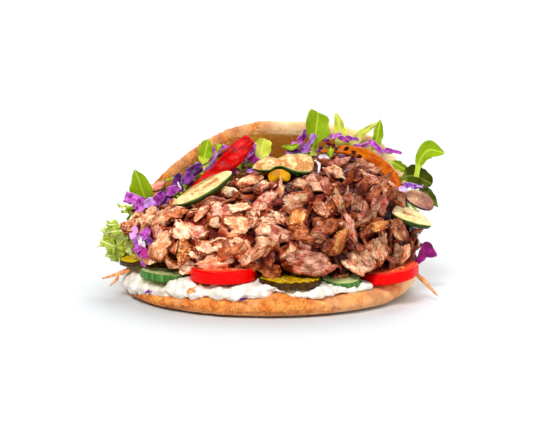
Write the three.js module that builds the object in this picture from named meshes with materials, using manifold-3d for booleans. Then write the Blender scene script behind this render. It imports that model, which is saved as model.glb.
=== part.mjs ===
// Doner kebab sandwich: a round pocket flatbread, cut open along its front and stuffed with white
// cheese sauce, a row of raw vegetable slices, a heap of shaved meat, salad, grilled vegetables,
// red cabbage and rocket leaves.
//
// Millimetres, +Z up, +X to the right of someone who faces the open mouth, which looks along -Y.
// The origin is the middle of the flat spot that the bread rests on.

import * as THREE from "three";
import { mergeVertices } from "three/addons/utils/BufferGeometryUtils.js";
import Module from "manifold-3d";

const wasm = await Module();
wasm.setup();

// ---------------------------------------------------------------- driving dimensions

const BREAD_HALF_WIDTH = 95;
const BREAD_HALF_DEPTH = 88;
const BASE_THICKNESS = 12.5; // the lower half of the bread
const HOOD_THICKNESS = 12.5; // the upper half of the bread
const HOOD_LEFT_WIDTH = 86; // from the middle to each corner of the mouth
const HOOD_RIGHT_WIDTH = 88;
const HINGE_Y = 30; // the line through the two corners of the mouth
const HINGE_Z = 19;
const HOOD_REAR_REACH = 52; // from the hinge line back to the middle of the rear wall
const HOOD_RISE = 83.5; // from the hinge line up to the middle of the arch
const GAP = 0.35; // air left between pieces that touch

const COLOURS = {
  bread: "#d9a76a",
  sauce: "#f4f1e6",
  meat: "#b0775a",
  salad: "#7d9a3c",
  tomato: "#e0140c",
  cucumber: "#2f7a3c",
  pickle: "#8a8a1e",
  zucchini: "#e8e3a6",
  redPepper: "#d0100c",
  orangePepper: "#f09a0c",
  yellowPepper: "#d8a812",
  aubergine: "#8a5648",
  rocket: "#6fae1c",
  lettuce: "#b9d04a",
  cabbage: "#8c2f9c",
  carrot: "#e88a34",
};

// ---------------------------------------------------------------- tools

// Smooth unevenness from -1 to 1. wave is the distance between two neighbouring bumps.
function lumps(p, wave, seed = 0) {
  const k = (2 * Math.PI) / wave;
  const a = Math.sin(k * (p.x + 0.31 * p.z) + 1.7 * seed);
  const b = Math.sin(k * (0.93 * p.y - 0.37 * p.x) + 2.3 * seed + 1);
  const c = Math.sin(k * (0.88 * p.z + 0.42 * p.y) + 3.1 * seed + 2);
  return (a + b + c + a * b * c) / 4;
}

// From 0 below a to 1 above b, with a smooth step in between.
function rise(x, a, b) {
  return THREE.MathUtils.smoothstep(x, a, b);
}

// The geometry with only its positions, shared where they meet, each moved by place(vector).
function warp(geometry, place) {
  geometry.deleteAttribute("normal");
  geometry.deleteAttribute("uv");
  const merged = mergeVertices(geometry, 1e-4);
  const positions = merged.getAttribute("position");
  const p = new THREE.Vector3();
  for (let i = 0; i < positions.count; i++) {
    p.fromBufferAttribute(positions, i);
    place(p);
    positions.setXYZ(i, p.x, p.y, p.z);
  }
  return merged;
}

// Moves every vertex out along its normal, so far that each face around it moves out by grow.
function growPoints(points, index, grow) {
  const shell = new THREE.BufferGeometry();
  shell.setAttribute("position", new THREE.BufferAttribute(points, 3));
  shell.setIndex(new THREE.BufferAttribute(index, 1));
  shell.computeVertexNormals();
  const normals = shell.getAttribute("normal");
  const flattest = new Float32Array(points.length / 3).fill(1);
  const [a, b, c, across, normal] = Array.from({ length: 5 }, () => new THREE.Vector3());
  for (let i = 0; i < index.length; i += 3) {
    const corners = [index[i], index[i + 1], index[i + 2]];
    [a, b, c].forEach((corner, k) => corner.fromArray(points, corners[k] * 3));
    across.crossVectors(b.sub(a), c.sub(a)).normalize();
    for (const corner of corners) {
      normal.fromBufferAttribute(normals, corner);
      flattest[corner] = Math.min(flattest[corner], Math.max(0.3, normal.dot(across)));
    }
  }
  return points.map((value, i) => value + (grow * normals.array[i]) / flattest[Math.floor(i / 3)]);
}

// The solid of a geometry, with its faces turned out, and grown on all sides by grow.
function solidOf(geometry, grow = 0) {
  const points = Float32Array.from(geometry.getAttribute("position").array);
  const index = Uint32Array.from(geometry.index.array);
  const shell = (vertProperties) => {
    const mesh = new wasm.Mesh({ numProp: 3, vertProperties, triVerts: index });
    return new wasm.Manifold(mesh);
  };
  const plain = shell(points);
  if (plain.volume() < 0) {
    for (let i = 0; i < index.length; i += 3) [index[i + 1], index[i + 2]] = [index[i + 2], index[i + 1]];
  }
  return shell(grow > 0 ? growPoints(points, index, grow) : points);
}

function geometryOf(solid) {
  const mesh = solid.getMesh();
  const points = new Float32Array(mesh.numVert * 3);
  for (let i = 0; i < mesh.numVert; i++) {
    points.set(mesh.vertProperties.subarray(i * mesh.numProp, i * mesh.numProp + 3), i * 3);
  }
  const geometry = new THREE.BufferGeometry();
  geometry.setAttribute("position", new THREE.BufferAttribute(points, 3));
  geometry.setIndex(new THREE.BufferAttribute(Uint32Array.from(mesh.triVerts), 1));
  return geometry;
}

function joined([first, second]) {
  return geometryOf(solidOf(first).add(solidOf(second)));
}

// What is left of a geometry once its neighbours, each grown by the gap, are cut away.
// Loose crumbs that a cut leaves behind are dropped: only the largest body stays.
function fitted(geometry, neighbours) {
  let solid = solidOf(geometry);
  for (const neighbour of neighbours) solid = solid.subtract(solidOf(neighbour, GAP));
  const bodies = solid.decompose();
  bodies.sort((a, b) => b.volume() - a.volume());
  return geometryOf(bodies[0]);
}

// ---------------------------------------------------------------- bread

// The lower half: a round cake of dough with a rounded rim, pressed thin on the left by the
// sauce and lifted a little off the table at its right end.
function lowerBread() {
  const rim = 10;
  const rimSteps = 5;
  const half = BASE_THICKNESS / 2;
  const flatRadius = BREAD_HALF_WIDTH - rim;
  const profile = [new THREE.Vector2(0, 0), new THREE.Vector2(flatRadius, 0)];
  for (let i = 1; i <= rimSteps; i++) {
    const angle = Math.PI * (i / rimSteps - 0.5);
    profile.push(new THREE.Vector2(flatRadius + rim * Math.cos(angle), half + half * Math.sin(angle)));
  }
  profile.push(new THREE.Vector2(0, BASE_THICKNESS));
  const cake = new THREE.LatheGeometry(profile, 44);
  cake.rotateX(Math.PI / 2);
  return warp(cake, (p) => {
    const height = p.z / BASE_THICKNESS;
    const nearRim = rise(Math.hypot(p.x, p.y) / BREAD_HALF_WIDTH, 0.5, 0.95);
    const outward = 1 + 0.012 * lumps(p, 47, 1) * nearRim;
    const pressed = 4.5 * rise(-p.x, 40, 88) * rise(-p.y, -30, 20);
    const lifted = 3.5 * rise(p.x, 72, 96);
    p.x *= outward;
    p.y *= (outward * BREAD_HALF_DEPTH) / BREAD_HALF_WIDTH;
    p.z += lifted + height * (0.8 * lumps(p, 31, 2) * nearRim - pressed);
  });
}

// The upper half: a hood that is joined to the lower half round the back. It climbs forwards to
// a free edge that arches over the filling from one corner of the mouth to the other.
function upperBread() {
  const frontAngle = 1.7; // radians above the horizontal, seen from the hinge line
  const rootZ = 5; // the rear wall's foot, tucked into the lower half
  const rootTuck = 0.9;
  const cornerTurn = 1.4;
  const box = new THREE.BoxGeometry(2, 2, 2, 24, 9, 1);
  return warp(box, (p) => {
    const along = (p.y + 1) / 2;
    const across = Math.sin(p.x * cornerTurn);
    const climb = Math.max(0, along * 1.12 - 0.12);
    const angle = climb * frontAngle;
    // The arch falls away early on the left, and stays full out to its right shoulder.
    const fullness = THREE.MathUtils.lerp(2, across < 0 ? 1.78 : 3.5, climb);
    const bulge = Math.pow(1 - Math.pow(Math.abs(across), fullness), 1 / fullness);
    const reach = THREE.MathUtils.lerp(HOOD_REAR_REACH, HOOD_RISE, Math.pow(climb, 2.2));
    const lip = along > 0.99 ? 0.6 : 1;
    const wall = HOOD_THICKNESS * lip * THREE.MathUtils.lerp(0.62, 1, rise(bulge, 0.15, 0.5));
    const radius = reach * bulge + (p.z * wall) / 2;
    const halfWidth = across < 0 ? HOOD_LEFT_WIDTH : HOOD_RIGHT_WIDTH;
    p.set(
      halfWidth * across + (p.z * wall * across * Math.abs(across)) / 2,
      HINGE_Y + radius * Math.cos(angle),
      HINGE_Z + radius * Math.sin(angle),
    );
    p.z += 1.6 * lumps(p, 58, 4) * climb;
    if (along === 0) p.set(p.x * rootTuck, p.y * rootTuck, rootZ);
  });
}

// ---------------------------------------------------------------- slices

// A round slice lying at centre. outline(angle) scales its radius, and tilt is its slope in
// radians towards +X and +Y.
function sliceGeometry({ centre, radius, thickness, tilt = [0, 0], segments = 24, outline = () => 1 }) {
  const half = thickness / 2;
  const bevel = Math.min(0.9, half * 0.4);
  const profile = [
    new THREE.Vector2(0, -half),
    new THREE.Vector2(radius - bevel, -half),
    new THREE.Vector2(radius, -half + bevel),
    new THREE.Vector2(radius, half - bevel),
    new THREE.Vector2(radius - bevel, half),
    new THREE.Vector2(0, half),
  ];
  const disc = new THREE.LatheGeometry(profile, segments);
  disc.rotateX(Math.PI / 2);
  return warp(disc, (p) => {
    const scale = outline(Math.atan2(p.y, p.x));
    p.x *= scale;
    p.y *= scale;
    p.z += tilt[0] * p.x + tilt[1] * p.y;
    p.add(new THREE.Vector3(...centre));
  });
}

const lobed = (count, depth, phase) => (angle) => 1 + depth * Math.cos(count * angle + phase);

const SLICES = {
  tomato_slice_left: {
    colour: "tomato", centre: [-27, -61.5, 22.2], radius: 20.2, thickness: 8, outline: lobed(5, 0.015, 1),
  },
  tomato_slice_right: {
    colour: "tomato", centre: [73.6, -42, 18.4], radius: 17.9, thickness: 6.8, tilt: [0.15, 0.02],
    outline: lobed(5, 0.015, 2),
  },
  cucumber_slice_left: {
    colour: "cucumber", centre: [-62, -47, 17.9], radius: 16.4, thickness: 4.8, tilt: [-0.1, 0.02],
  },
  cucumber_slice_right: {
    colour: "cucumber", centre: [43.4, -57, 16.6], radius: 12, thickness: 3.6, tilt: [-0.02, 0.05],
  },
  pickle_slice_left: {
    colour: "pickle", centre: [-76, -25, 24.1], radius: 17, thickness: 3.2, tilt: [-0.1, 0.03],
    segments: 26, outline: lobed(13, 0.03, 0),
  },
  pickle_slice_middle: {
    colour: "pickle", centre: [13, -66, 18.6], radius: 18.6, thickness: 4.2, tilt: [0, 0.03],
    segments: 30, outline: lobed(15, 0.028, 0),
  },
};

// ---------------------------------------------------------------- strips, leaves and shreds

// The widths of a slice with two lobes, the second one broader, and a narrow fold between them.
const LOBES = [[0, 0.14], [0.1, 0.42], [0.3, 0.74], [0.45, 0.42], [0.56, 0.66], [0.8, 1], [0.95, 0.95], [1, 0.4]];

// The value at u on straight lines through the stops.
function between(stops, u) {
  const next = Math.max(1, stops.findIndex(([place]) => place >= u));
  const [[u0, low], [u1, high]] = [stops[next - 1], stops[next]];
  return low + ((high - low) * (u - u0)) / (u1 - u0);
}

// Width along a ribbon, as a share of its half width, from its base at 0 to its tip at 1.
const SHAPES = {
  lobed: (u) => between(LOBES, u),
  strip: (u) => Math.pow(Math.max(0, 1 - Math.pow(Math.abs(2 * u - 1), 5)), 0.5),
  oval: (u) => Math.sqrt(Math.max(0, 1 - Math.pow(2 * u - 1, 2))),
  taper: (u) => Math.pow(Math.min(1, 3 * u + 0.25), 0.6) * Math.pow(1 - u, 0.45),
  wedge: (u) => Math.min(1, 0.15 + 0.95 * u) * Math.pow(Math.max(0, 1 - Math.pow(u, 7)), 0.5),
  // A rocket leaf: a thin stalk that opens into a blunt blade.
  stalked: (u) => 0.16 + 0.84 * rise(u, 0.25, 0.66) * Math.pow(Math.max(0, 1 - Math.pow(u, 9)), 0.5),
  blade: (u) => Math.pow(Math.sin(Math.PI * Math.pow(u, 0.8) * 0.97 + 0.06), 0.7),
};
const THINNEST = 0.14; // the least share of the width that a ribbon's ends narrow to

// A flat or folded strip along a smooth line through the points of spine. face is the way its
// broad side looks, halfWidth its half width, and cup how far its edges stand off its middle.
function ribbonGeometry({ spine, face, halfWidth, thickness, shape = "strip", cup = 0, steps = 6 }) {
  const acrossSteps = cup > 0 ? 2 : 1;
  const line = new THREE.CatmullRomCurve3(spine.map((point) => new THREE.Vector3(...point)));
  const looks = new THREE.Vector3(...face).normalize();
  const box = new THREE.BoxGeometry(2, 2, 2, steps, acrossSteps, 1);
  return warp(box, (p) => {
    const u = (p.x + 1) / 2;
    const tangent = line.getTangent(u);
    const side = new THREE.Vector3().crossVectors(looks, tangent).normalize();
    const normal = new THREE.Vector3().crossVectors(tangent, side);
    const width = halfWidth * Math.max(THINNEST, SHAPES[shape](u));
    const across = p.y * width;
    const off = (p.z * thickness) / 2 + cup * Math.pow(across / halfWidth, 2);
    p.copy(line.getPoint(u)).addScaledVector(side, across).addScaledVector(normal, off);
  });
}

const RIBBONS = {
  zucchini_slice_left: {
    colour: "zucchini", shape: "oval", halfWidth: 8.6, thickness: 3.4, face: [-0.35, -0.42, 0.84],
    spine: [[-57, -33, 59], [-40, -28, 67.5], [-23, -22, 77.5]],
  },
  zucchini_slice_middle: {
    colour: "zucchini", shape: "lobed", halfWidth: 9.2, thickness: 3.2, face: [0, -0.62, 0.78], steps: 14,
    spine: [[-10, -15, 79], [-2, -15, 81], [7.5, -14.5, 83], [18, -14, 81.5], [28, -13, 81.5]],
  },
  zucchini_slice_right: {
    colour: "zucchini", shape: "oval", halfWidth: 9, thickness: 3.4, face: [0.3, -0.4, 0.87],
    spine: [[75, -30, 54], [88, -26, 50], [101, -20, 44.5]],
  },
  red_pepper_strip: {
    colour: "redPepper", shape: "wedge", halfWidth: 6.6, thickness: 3.6, face: [-0.25, -0.9, 0.36],
    spine: [[-52, -13, 63], [-33, -10, 77], [-11.5, -5, 95.5]],
  },
  orange_pepper_strip: {
    colour: "orangePepper", shape: "strip", halfWidth: 3.9, thickness: 3.4, steps: 10,
    face: [0.1, -0.92, 0.38],
    spine: [[33, 3, 87.5], [48, 2, 88.5], [63, 0, 84.5], [75, -3, 76], [83, -8, 63]],
  },
  yellow_pepper_piece: {
    colour: "yellowPepper", shape: "strip", halfWidth: 3.2, thickness: 2.2, face: [0, -0.8, 0.6],
    spine: [[0, -21.3, 72.8], [6.5, -21.5, 76], [13, -21.3, 73]],
  },
  aubergine_slice: {
    colour: "aubergine", shape: "oval", halfWidth: 6, thickness: 2.6, face: [0.45, -0.8, 0.4],
    spine: [[86.5, -5, 61.5], [95.5, -6, 57.5], [104, -7.5, 52.5]],
  },
  rocket_leaf_left: {
    colour: "rocket", shape: "blade", halfWidth: 7.6, thickness: 0.9, cup: 1.5, face: [-0.25, -0.95, 0.1],
    spine: [[-76, -3, 50], [-80, -5, 63], [-84.5, -7, 77]],
  },
  rocket_leaf_upper_left: {
    colour: "rocket", shape: "blade", halfWidth: 4.8, thickness: 0.9, cup: 1, face: [-0.1, -0.98, 0.1],
    spine: [[-42, -4, 80], [-40, -3, 88], [-38.3, -3, 95.5]],
  },
  rocket_leaf_top: {
    colour: "rocket", shape: "stalked", halfWidth: 8.2, thickness: 0.9, cup: 1.6, face: [0.12, -0.97, 0.2],
    spine: [[23, -2, 78], [28, 1, 95], [32, 3, 112.5]],
  },
  rocket_leaf_right_curl: {
    colour: "rocket", shape: "stalked", halfWidth: 5.2, thickness: 0.9, cup: 1, face: [-0.1, -0.98, 0.15],
    steps: 9, spine: [[93, -3.5, 72], [95.5, -3, 82], [101, -2.5, 88.8], [111, -2, 86.8]],
  },
  rocket_leaf_right_fold: {
    colour: "rocket", shape: "blade", halfWidth: 7.2, thickness: 0.9, cup: 2, face: [0.15, -0.92, 0.36],
    spine: [[83, 4, 70], [93, 3, 71.5], [104, 1.5, 66.5]],
  },
  rocket_leaf_right_tuck: {
    colour: "rocket", shape: "blade", halfWidth: 3.2, thickness: 0.9, cup: 1, face: [0.15, -0.95, 0.2],
    spine: [[76.5, 9, 81], [83, 8.5, 77.5], [89, 8, 74]],
  },
  rocket_leaf_right_low: {
    colour: "rocket", shape: "blade", halfWidth: 3.6, thickness: 0.9, cup: 1, face: [0.3, -0.9, 0.2],
    spine: [[95, 2, 66], [101, 1, 60], [108, 0, 52]],
  },
  rocket_leaf_shoulder: {
    colour: "rocket", shape: "blade", halfWidth: 3.8, thickness: 0.9, cup: 1, face: [0.2, -0.95, 0.1],
    spine: [[66, 11, 86], [69.5, 12.5, 96], [71.3, 12.5, 107]],
  },
  lettuce_strip_upright: {
    colour: "lettuce", shape: "taper", halfWidth: 5.4, thickness: 1, cup: 1, face: [0, -1, 0.1],
    spine: [[48.5, 12, 86], [46, 13, 98], [43, 13, 111]],
  },
  lettuce_strip_leaning: {
    colour: "lettuce", shape: "taper", halfWidth: 3.4, thickness: 1, cup: 0.8, face: [0, -1, 0.1],
    spine: [[50, 16, 86], [59, 15, 97], [70.5, 14, 105]],
  },
  lettuce_rib_middle: {
    colour: "lettuce", shape: "strip", halfWidth: 5.4, thickness: 2, cup: 1.4, face: [0.1, -0.97, 0.2],
    spine: [[-7, 1, 77], [-5, 5, 86], [-3, 8, 95]],
  },
  cabbage_shred_low_left: {
    colour: "cabbage", shape: "strip", halfWidth: 5, thickness: 3.6, face: [-0.5, -0.86, 0.1],
    spine: [[-81, -35, 41], [-77.5, -42, 34], [-73, -46.5, 28.5]],
  },
  cabbage_shred_left: {
    colour: "cabbage", shape: "strip", halfWidth: 4.6, thickness: 3, face: [-0.3, -0.95, 0.1],
    spine: [[-85, -13, 60], [-78.5, -15, 54.5], [-69, -15, 60]],
  },
  cabbage_shred_upper_left: {
    colour: "cabbage", shape: "strip", halfWidth: 4.6, thickness: 3.4, face: [-0.3, -0.9, 0.3],
    spine: [[-66, -11, 59], [-57, -8, 68], [-47, -3, 74.5]],
  },
  cabbage_shred_by_pepper: {
    colour: "cabbage", shape: "strip", halfWidth: 3, thickness: 2, face: [-0.3, -0.9, 0.3],
    spine: [[-46, 1.5, 76], [-37, 3, 85], [-28, 4.5, 91]],
  },
  cabbage_shred_middle: {
    colour: "cabbage", shape: "strip", halfWidth: 2.8, thickness: 2, face: [0, -0.9, 0.4],
    spine: [[-17, -4.5, 83.5], [-12, -2, 86], [-8.5, -2, 91]],
  },
  cabbage_shred_top: {
    colour: "cabbage", shape: "strip", halfWidth: 3.2, thickness: 2.2, face: [0.1, -0.95, 0.2],
    spine: [[13, 6, 87], [19, 7, 91], [24, 8, 97]],
  },
  cabbage_shred_top_right: {
    colour: "cabbage", shape: "strip", halfWidth: 2.4, thickness: 2, face: [0, -0.9, 0.4],
    spine: [[34.5, 9.5, 94.5], [43, 8.5, 95.5], [53, 8, 93.5]],
  },
  cabbage_shred_shoulder: {
    colour: "cabbage", shape: "strip", halfWidth: 2.4, thickness: 2, face: [0.2, -0.9, 0.4],
    spine: [[59, 7.5, 91.5], [68.5, 7, 90], [79, 5.5, 85.8]],
  },
  cabbage_shred_right: {
    colour: "cabbage", shape: "strip", halfWidth: 2.8, thickness: 2.4, face: [0.3, -0.9, 0.2],
    spine: [[84.5, -9, 65.5], [89, -10, 67.5], [94.5, -10, 66.8]],
  },
  cabbage_leaf_low_right: {
    colour: "cabbage", shape: "wedge", halfWidth: 6.4, thickness: 1.6, cup: 1, face: [0.2, -0.97, 0],
    spine: [[93, -18, 18.5], [97, -17, 25], [103, -15, 29.5]],
  },
  carrot_shred_left: {
    colour: "carrot", shape: "taper", halfWidth: 1.7, thickness: 2, face: [0, -1, 0.2],
    spine: [[-86, -32, 18], [-94, -28, 14.5], [-105, -22, 10]],
  },
  carrot_shred_right: {
    colour: "carrot", shape: "taper", halfWidth: 1.7, thickness: 2, face: [0.2, -1, 0.2],
    spine: [[90.5, -31, 16], [95.5, -35.5, 12], [100, -39, 7.5], [104, -42, 3.4]],
  },
};

// ---------------------------------------------------------------- heaps

// A lumpy heap round centre, with the given reach each way from it. Seen from the front its top
// falls off to the left and right by the powers in shoulders, and its right half stands higher
// by the share in lean. Its underside is flat.
function heapGeometry({ centre, reach, shoulders, lean = 0, plan = 2.2, bumps, segments }) {
  const ball = new THREE.SphereGeometry(1, ...segments);
  ball.rotateZ(Math.PI / 2);
  const falloff = (x, power) => Math.pow(Math.max(0, 1 - Math.pow(Math.abs(x), power)), 1 / power);
  const squared = (c, power) => Math.sign(c) * Math.pow(Math.abs(c), power);
  return warp(ball, (p) => {
    const ring = Math.hypot(p.y, p.z) || 1;
    const top = falloff(p.x, p.x < 0 ? shoulders[0] : shoulders[1]) * (1 + lean * rise(p.x, 0, 0.5));
    const round = falloff(p.x, plan);
    const pushed = 1 + bumps.depth * lumps(p.clone().multiplyScalar(60), bumps.wave, bumps.seed);
    const forward = squared(p.y / ring, p.z < 0 ? 0.6 : 0.9) * round;
    const up = p.z < 0 ? squared(p.z / ring, 0.6) * round : squared(p.z / ring, 0.95) * top;
    p.set(
      centre[0] + p.x * pushed * reach.x[p.x < 0 ? 0 : 1],
      centre[1] + forward * pushed * reach.y[forward < 0 ? 0 : 1],
      centre[2] + up * pushed * reach.z[up < 0 ? 0 : 1],
    );
  });
}

const MEAT = {
  centre: [2, -4, 34],
  reach: { x: [95, 92], y: [67, 34], z: [20, 40] },
  shoulders: [1.4, 2.5],
  lean: 0.32,
  bumps: { depth: 0.045, wave: 34, seed: 3 },
  segments: [26, 16],
};

const SALAD = {
  centre: [0, 22, 42],
  reach: { x: [92, 93], y: [34, 56], z: [30, 49] },
  shoulders: [1.5, 3],
  bumps: { depth: 0.03, wave: 26, seed: 5 },
  segments: [20, 12],
};

const FRISEE = {
  centre: [-93, -16, 34],
  reach: { x: [13, 11], y: [10, 12], z: [13, 11] },
  shoulders: [2, 2],
  plan: 2,
  bumps: { depth: 0.12, wave: 40, seed: 2 },
  segments: [12, 8],
};

// The sauce: a thick uneven layer spread along the front rim of the lower bread, out to the very
// edge, where it bulges over the crust.
function sauceGeometry() {
  const startAngle = THREE.MathUtils.degToRad(176);
  const endAngle = THREE.MathUtils.degToRad(330);
  const middleRadius = 75;
  const reach = 18.5;
  const layer = new THREE.CylinderGeometry(1, 1, 2, 8, 26);
  const squared = (c) => Math.sign(c) * Math.pow(Math.abs(c), 0.6);
  return warp(layer, (p) => {
    const along = (p.y + 1) / 2;
    const angle = THREE.MathUtils.lerp(startAngle, endAngle, along);
    const ends = Math.pow(Math.max(0.1, 1 - Math.pow(Math.abs(2 * along - 1), 7)), 0.5);
    const right = rise(along, 0.55, 0.95);
    const spread = reach * ends * (1 + 0.05 * Math.sin(37 * along) + 0.03 * Math.sin(61 * along + 1));
    const left = rise(0.3 - along, 0, 0.2);
    const radius = middleRadius + squared(p.x) * spread - 3 * right + 3.5 * left;
    const middle = THREE.MathUtils.lerp(14.2, 12, right) - 3.6 * left;
    const z = middle + squared(p.z) * (THREE.MathUtils.lerp(5.6, 4.4, right) + 1.2 * left) * ends;
    p.set(radius * Math.cos(angle), (radius * Math.sin(angle) * BREAD_HALF_DEPTH) / BREAD_HALF_WIDTH, z);
  });
}

// ---------------------------------------------------------------- assembly

const sandwich = new THREE.Group();

function addPiece(name, geometry, colour) {
  const material = new THREE.MeshStandardMaterial({ color: COLOURS[colour], roughness: 0.6, metalness: 0 });
  const mesh = new THREE.Mesh(geometry, material);
  mesh.name = name;
  sandwich.add(mesh);
  return geometry;
}

const breadHalves = [lowerBread(), upperBread()];
addPiece("bread", joined(breadHalves), "bread");

const pieces = [...Object.entries(SLICES), ...Object.entries(RIBBONS)].map(([name, piece]) =>
  addPiece(name, piece.spine ? ribbonGeometry(piece) : sliceGeometry(piece), piece.colour),
);

// Each soft filling makes room for the bread, for every slice and strip, and for the fillings
// that come before it.
const FILLINGS = [
  ["white_sauce", sauceGeometry(), "sauce"],
  ["frisee_bunch_left", heapGeometry(FRISEE), "lettuce"],
  ["meat_heap", heapGeometry(MEAT), "meat"],
  ["salad_heap", heapGeometry(SALAD), "salad"],
];
const inTheWay = [...breadHalves, ...pieces];
for (const [name, geometry, colour] of FILLINGS) {
  addPiece(name, fitted(geometry, inTheWay), colour);
  inTheWay.push(geometry);
}

export default sandwich;
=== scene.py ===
"""Looks of a doner kebab sandwich: a pocket flatbread with sauce, meat, salad and vegetables.

Shapes are worked out in millimetres and turned into metres when a mesh is made. Colours are given
as the 0 to 255 values seen on a screen. "The picture" is what the scene's camera sees.
"""

import math
from functools import lru_cache

import bpy
import numpy as np
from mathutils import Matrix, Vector
from mathutils.bvhtree import BVHTree


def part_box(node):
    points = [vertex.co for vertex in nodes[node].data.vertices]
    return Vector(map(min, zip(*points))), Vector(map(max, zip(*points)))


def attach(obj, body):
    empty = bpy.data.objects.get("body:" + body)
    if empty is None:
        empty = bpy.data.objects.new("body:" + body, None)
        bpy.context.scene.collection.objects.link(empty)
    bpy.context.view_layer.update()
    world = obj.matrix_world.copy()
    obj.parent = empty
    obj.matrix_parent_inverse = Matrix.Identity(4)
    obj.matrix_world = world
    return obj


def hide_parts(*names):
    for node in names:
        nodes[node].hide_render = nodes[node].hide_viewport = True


MM = 0.001

PICTURE_WIDTH = 550
PICTURE_MIDDLE = (275, 220)
FOCAL_PIXELS = 1328
SENSOR_MM = 36
CAMERA_TARGET = (3.8, 0.0, 43.6)
CAMERA_DISTANCE = 850
CAMERA_ELEVATION = math.radians(10)
CAMERA_SIDE = Vector((0, -math.cos(CAMERA_ELEVATION), math.sin(CAMERA_ELEVATION)))
PICTURE_UP = CAMERA_SIDE.cross(Vector((1, 0, 0)))
TO_CAMERA = np.array(CAMERA_SIDE)

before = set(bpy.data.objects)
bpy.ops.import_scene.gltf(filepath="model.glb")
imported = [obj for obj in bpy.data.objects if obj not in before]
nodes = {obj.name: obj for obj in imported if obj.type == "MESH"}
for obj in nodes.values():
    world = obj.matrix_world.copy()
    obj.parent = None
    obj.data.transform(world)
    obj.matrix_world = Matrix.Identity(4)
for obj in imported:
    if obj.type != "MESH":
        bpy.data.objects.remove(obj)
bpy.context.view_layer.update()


# ---------------------------------------------------------------- numbers and noise


def srgb(red, green, blue):
    """A linear colour from the 0 to 255 values seen on a screen."""
    linear = [(c / 12.92) if c <= 0.04045 else ((c + 0.055) / 1.055) ** 2.4
              for c in (red / 255, green / 255, blue / 255)]
    return (*linear, 1.0)


def rise(x, start, end):
    """0 before start, 1 after end, and smooth between them."""
    share = np.clip((x - start) / (end - start), 0, 1)
    return share * share * (3 - 2 * share)


def unit(vectors):
    """Each vector at length 1."""
    length = np.linalg.norm(vectors, axis=-1, keepdims=True)
    return vectors / np.maximum(length, 1e-9)


def scrambled(cells, seed):
    """A fixed number from -1 to 1 for each cell of a lattice."""
    mixed = cells @ np.array([73856093, 19349663, 83492791]) + seed * 15731
    mixed = ((mixed ^ (mixed >> 13)) * 1274126177) & 0xFFFFFFFF
    mixed = (mixed ^ (mixed >> 15)) & 0xFFFF
    return mixed / 32767.5 - 1


def noise(points, wave, seed=0):
    """Smooth noise from -1 to 1, with lumps about wave mm across."""
    cells = np.asarray(points, float) / wave + 500
    base = np.floor(cells).astype(np.int64)
    blend = cells - base
    blend = blend * blend * (3 - 2 * blend)
    total = np.zeros(base.shape[:-1])
    for corner in np.ndindex(2, 2, 2):
        weight = np.prod(np.where(np.array(corner) > 0, blend, 1 - blend), axis=-1)
        total += weight * scrambled(base + np.array(corner), seed)
    return total


def spline(points, count):
    """count points, and the directions there, along a smooth line through the given points."""
    knots = np.array(points, float)
    place = np.linspace(0, len(knots) - 1, count)
    first = np.minimum(place.astype(int), len(knots) - 2)
    f = (place - first)[:, None]
    padded = np.vstack([2 * knots[0] - knots[1], knots, 2 * knots[-1] - knots[-2]])
    a, b, c, d = (padded[first + i] for i in range(4))
    line = 0.5 * (2 * b + (c - a) * f + (2 * a - 5 * b + 4 * c - d) * f**2
                  + (3 * b - a - 3 * c + d) * f**3)
    return line, unit(np.gradient(line, axis=0))


def length_of(line):
    return np.linalg.norm(np.diff(line, axis=0), axis=1).sum()


# ---------------------------------------------------------------- meshes


class Solid:
    """Gathers points and faces, with values for the shader at each point, into one piece.

    A face is four point numbers, or three and a -1.
    """

    def __init__(self):
        self.points = []
        self.faces = []
        self.values = {}
        self.count = 0

    def add(self, points, faces, **values):
        points = np.asarray(points, float).reshape(-1, 3)
        self.points.append(points)
        self.faces.append(np.where(faces < 0, -1, faces + self.count))
        for name, value in values.items():
            value = np.asarray(value, float)
            width = 1 if value.ndim < 2 else value.shape[-1]
            filled = np.broadcast_to(value.reshape(-1, width), (len(points), width))
            self.values.setdefault(name, []).append(filled)
        self.count += len(points)
        return self

    def build(self, name, material, slot, *replaced):
        """Makes the object, which rides on the root body and stands for the replaced nodes."""
        points = np.concatenate(self.points)
        faces = np.concatenate(self.faces)
        mesh = bpy.data.meshes.new(name)
        mesh.vertices.add(len(points))
        mesh.vertices.foreach_set("co", (points * MM).ravel())
        corners = faces[faces >= 0]
        sizes = (faces >= 0).sum(axis=1)
        mesh.loops.add(len(corners))
        mesh.loops.foreach_set("vertex_index", corners)
        mesh.polygons.add(len(faces))
        mesh.polygons.foreach_set("loop_start", np.concatenate([[0], np.cumsum(sizes)[:-1]]))
        for key, parts in self.values.items():
            value = np.concatenate(parts)
            kind, field = ("FLOAT", "value") if value.shape[1] == 1 else ("FLOAT_VECTOR", "vector")
            mesh.attributes.new(key, kind, "POINT").data.foreach_set(field, value.ravel())
        mesh.update(calc_edges=True)
        mesh.validate()
        mesh.shade_smooth()
        mesh.materials.append(material)
        piece = bpy.data.objects.new(name, mesh)
        bpy.context.scene.collection.objects.link(piece)
        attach(piece, "root")
        if replaced:
            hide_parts(*replaced)


@lru_cache(maxsize=None)
def sheet_faces(rows, columns):
    """Faces of a closed sheet: a top grid of points, and then the same grid below it."""
    index = np.arange(rows * columns).reshape(rows, columns)
    corners = [index[:-1, :-1], index[1:, :-1], index[1:, 1:], index[:-1, 1:]]
    top = np.stack(corners, -1).reshape(-1, 4)
    rim = np.concatenate([index[0, :-1], index[:-1, -1], index[-1, :0:-1], index[:0:-1, 0]])
    after = np.roll(rim, -1)
    below = rows * columns
    wall = np.stack([rim, after, after + below, rim + below], -1)
    return np.concatenate([top, top[:, ::-1] + below, wall])


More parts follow.
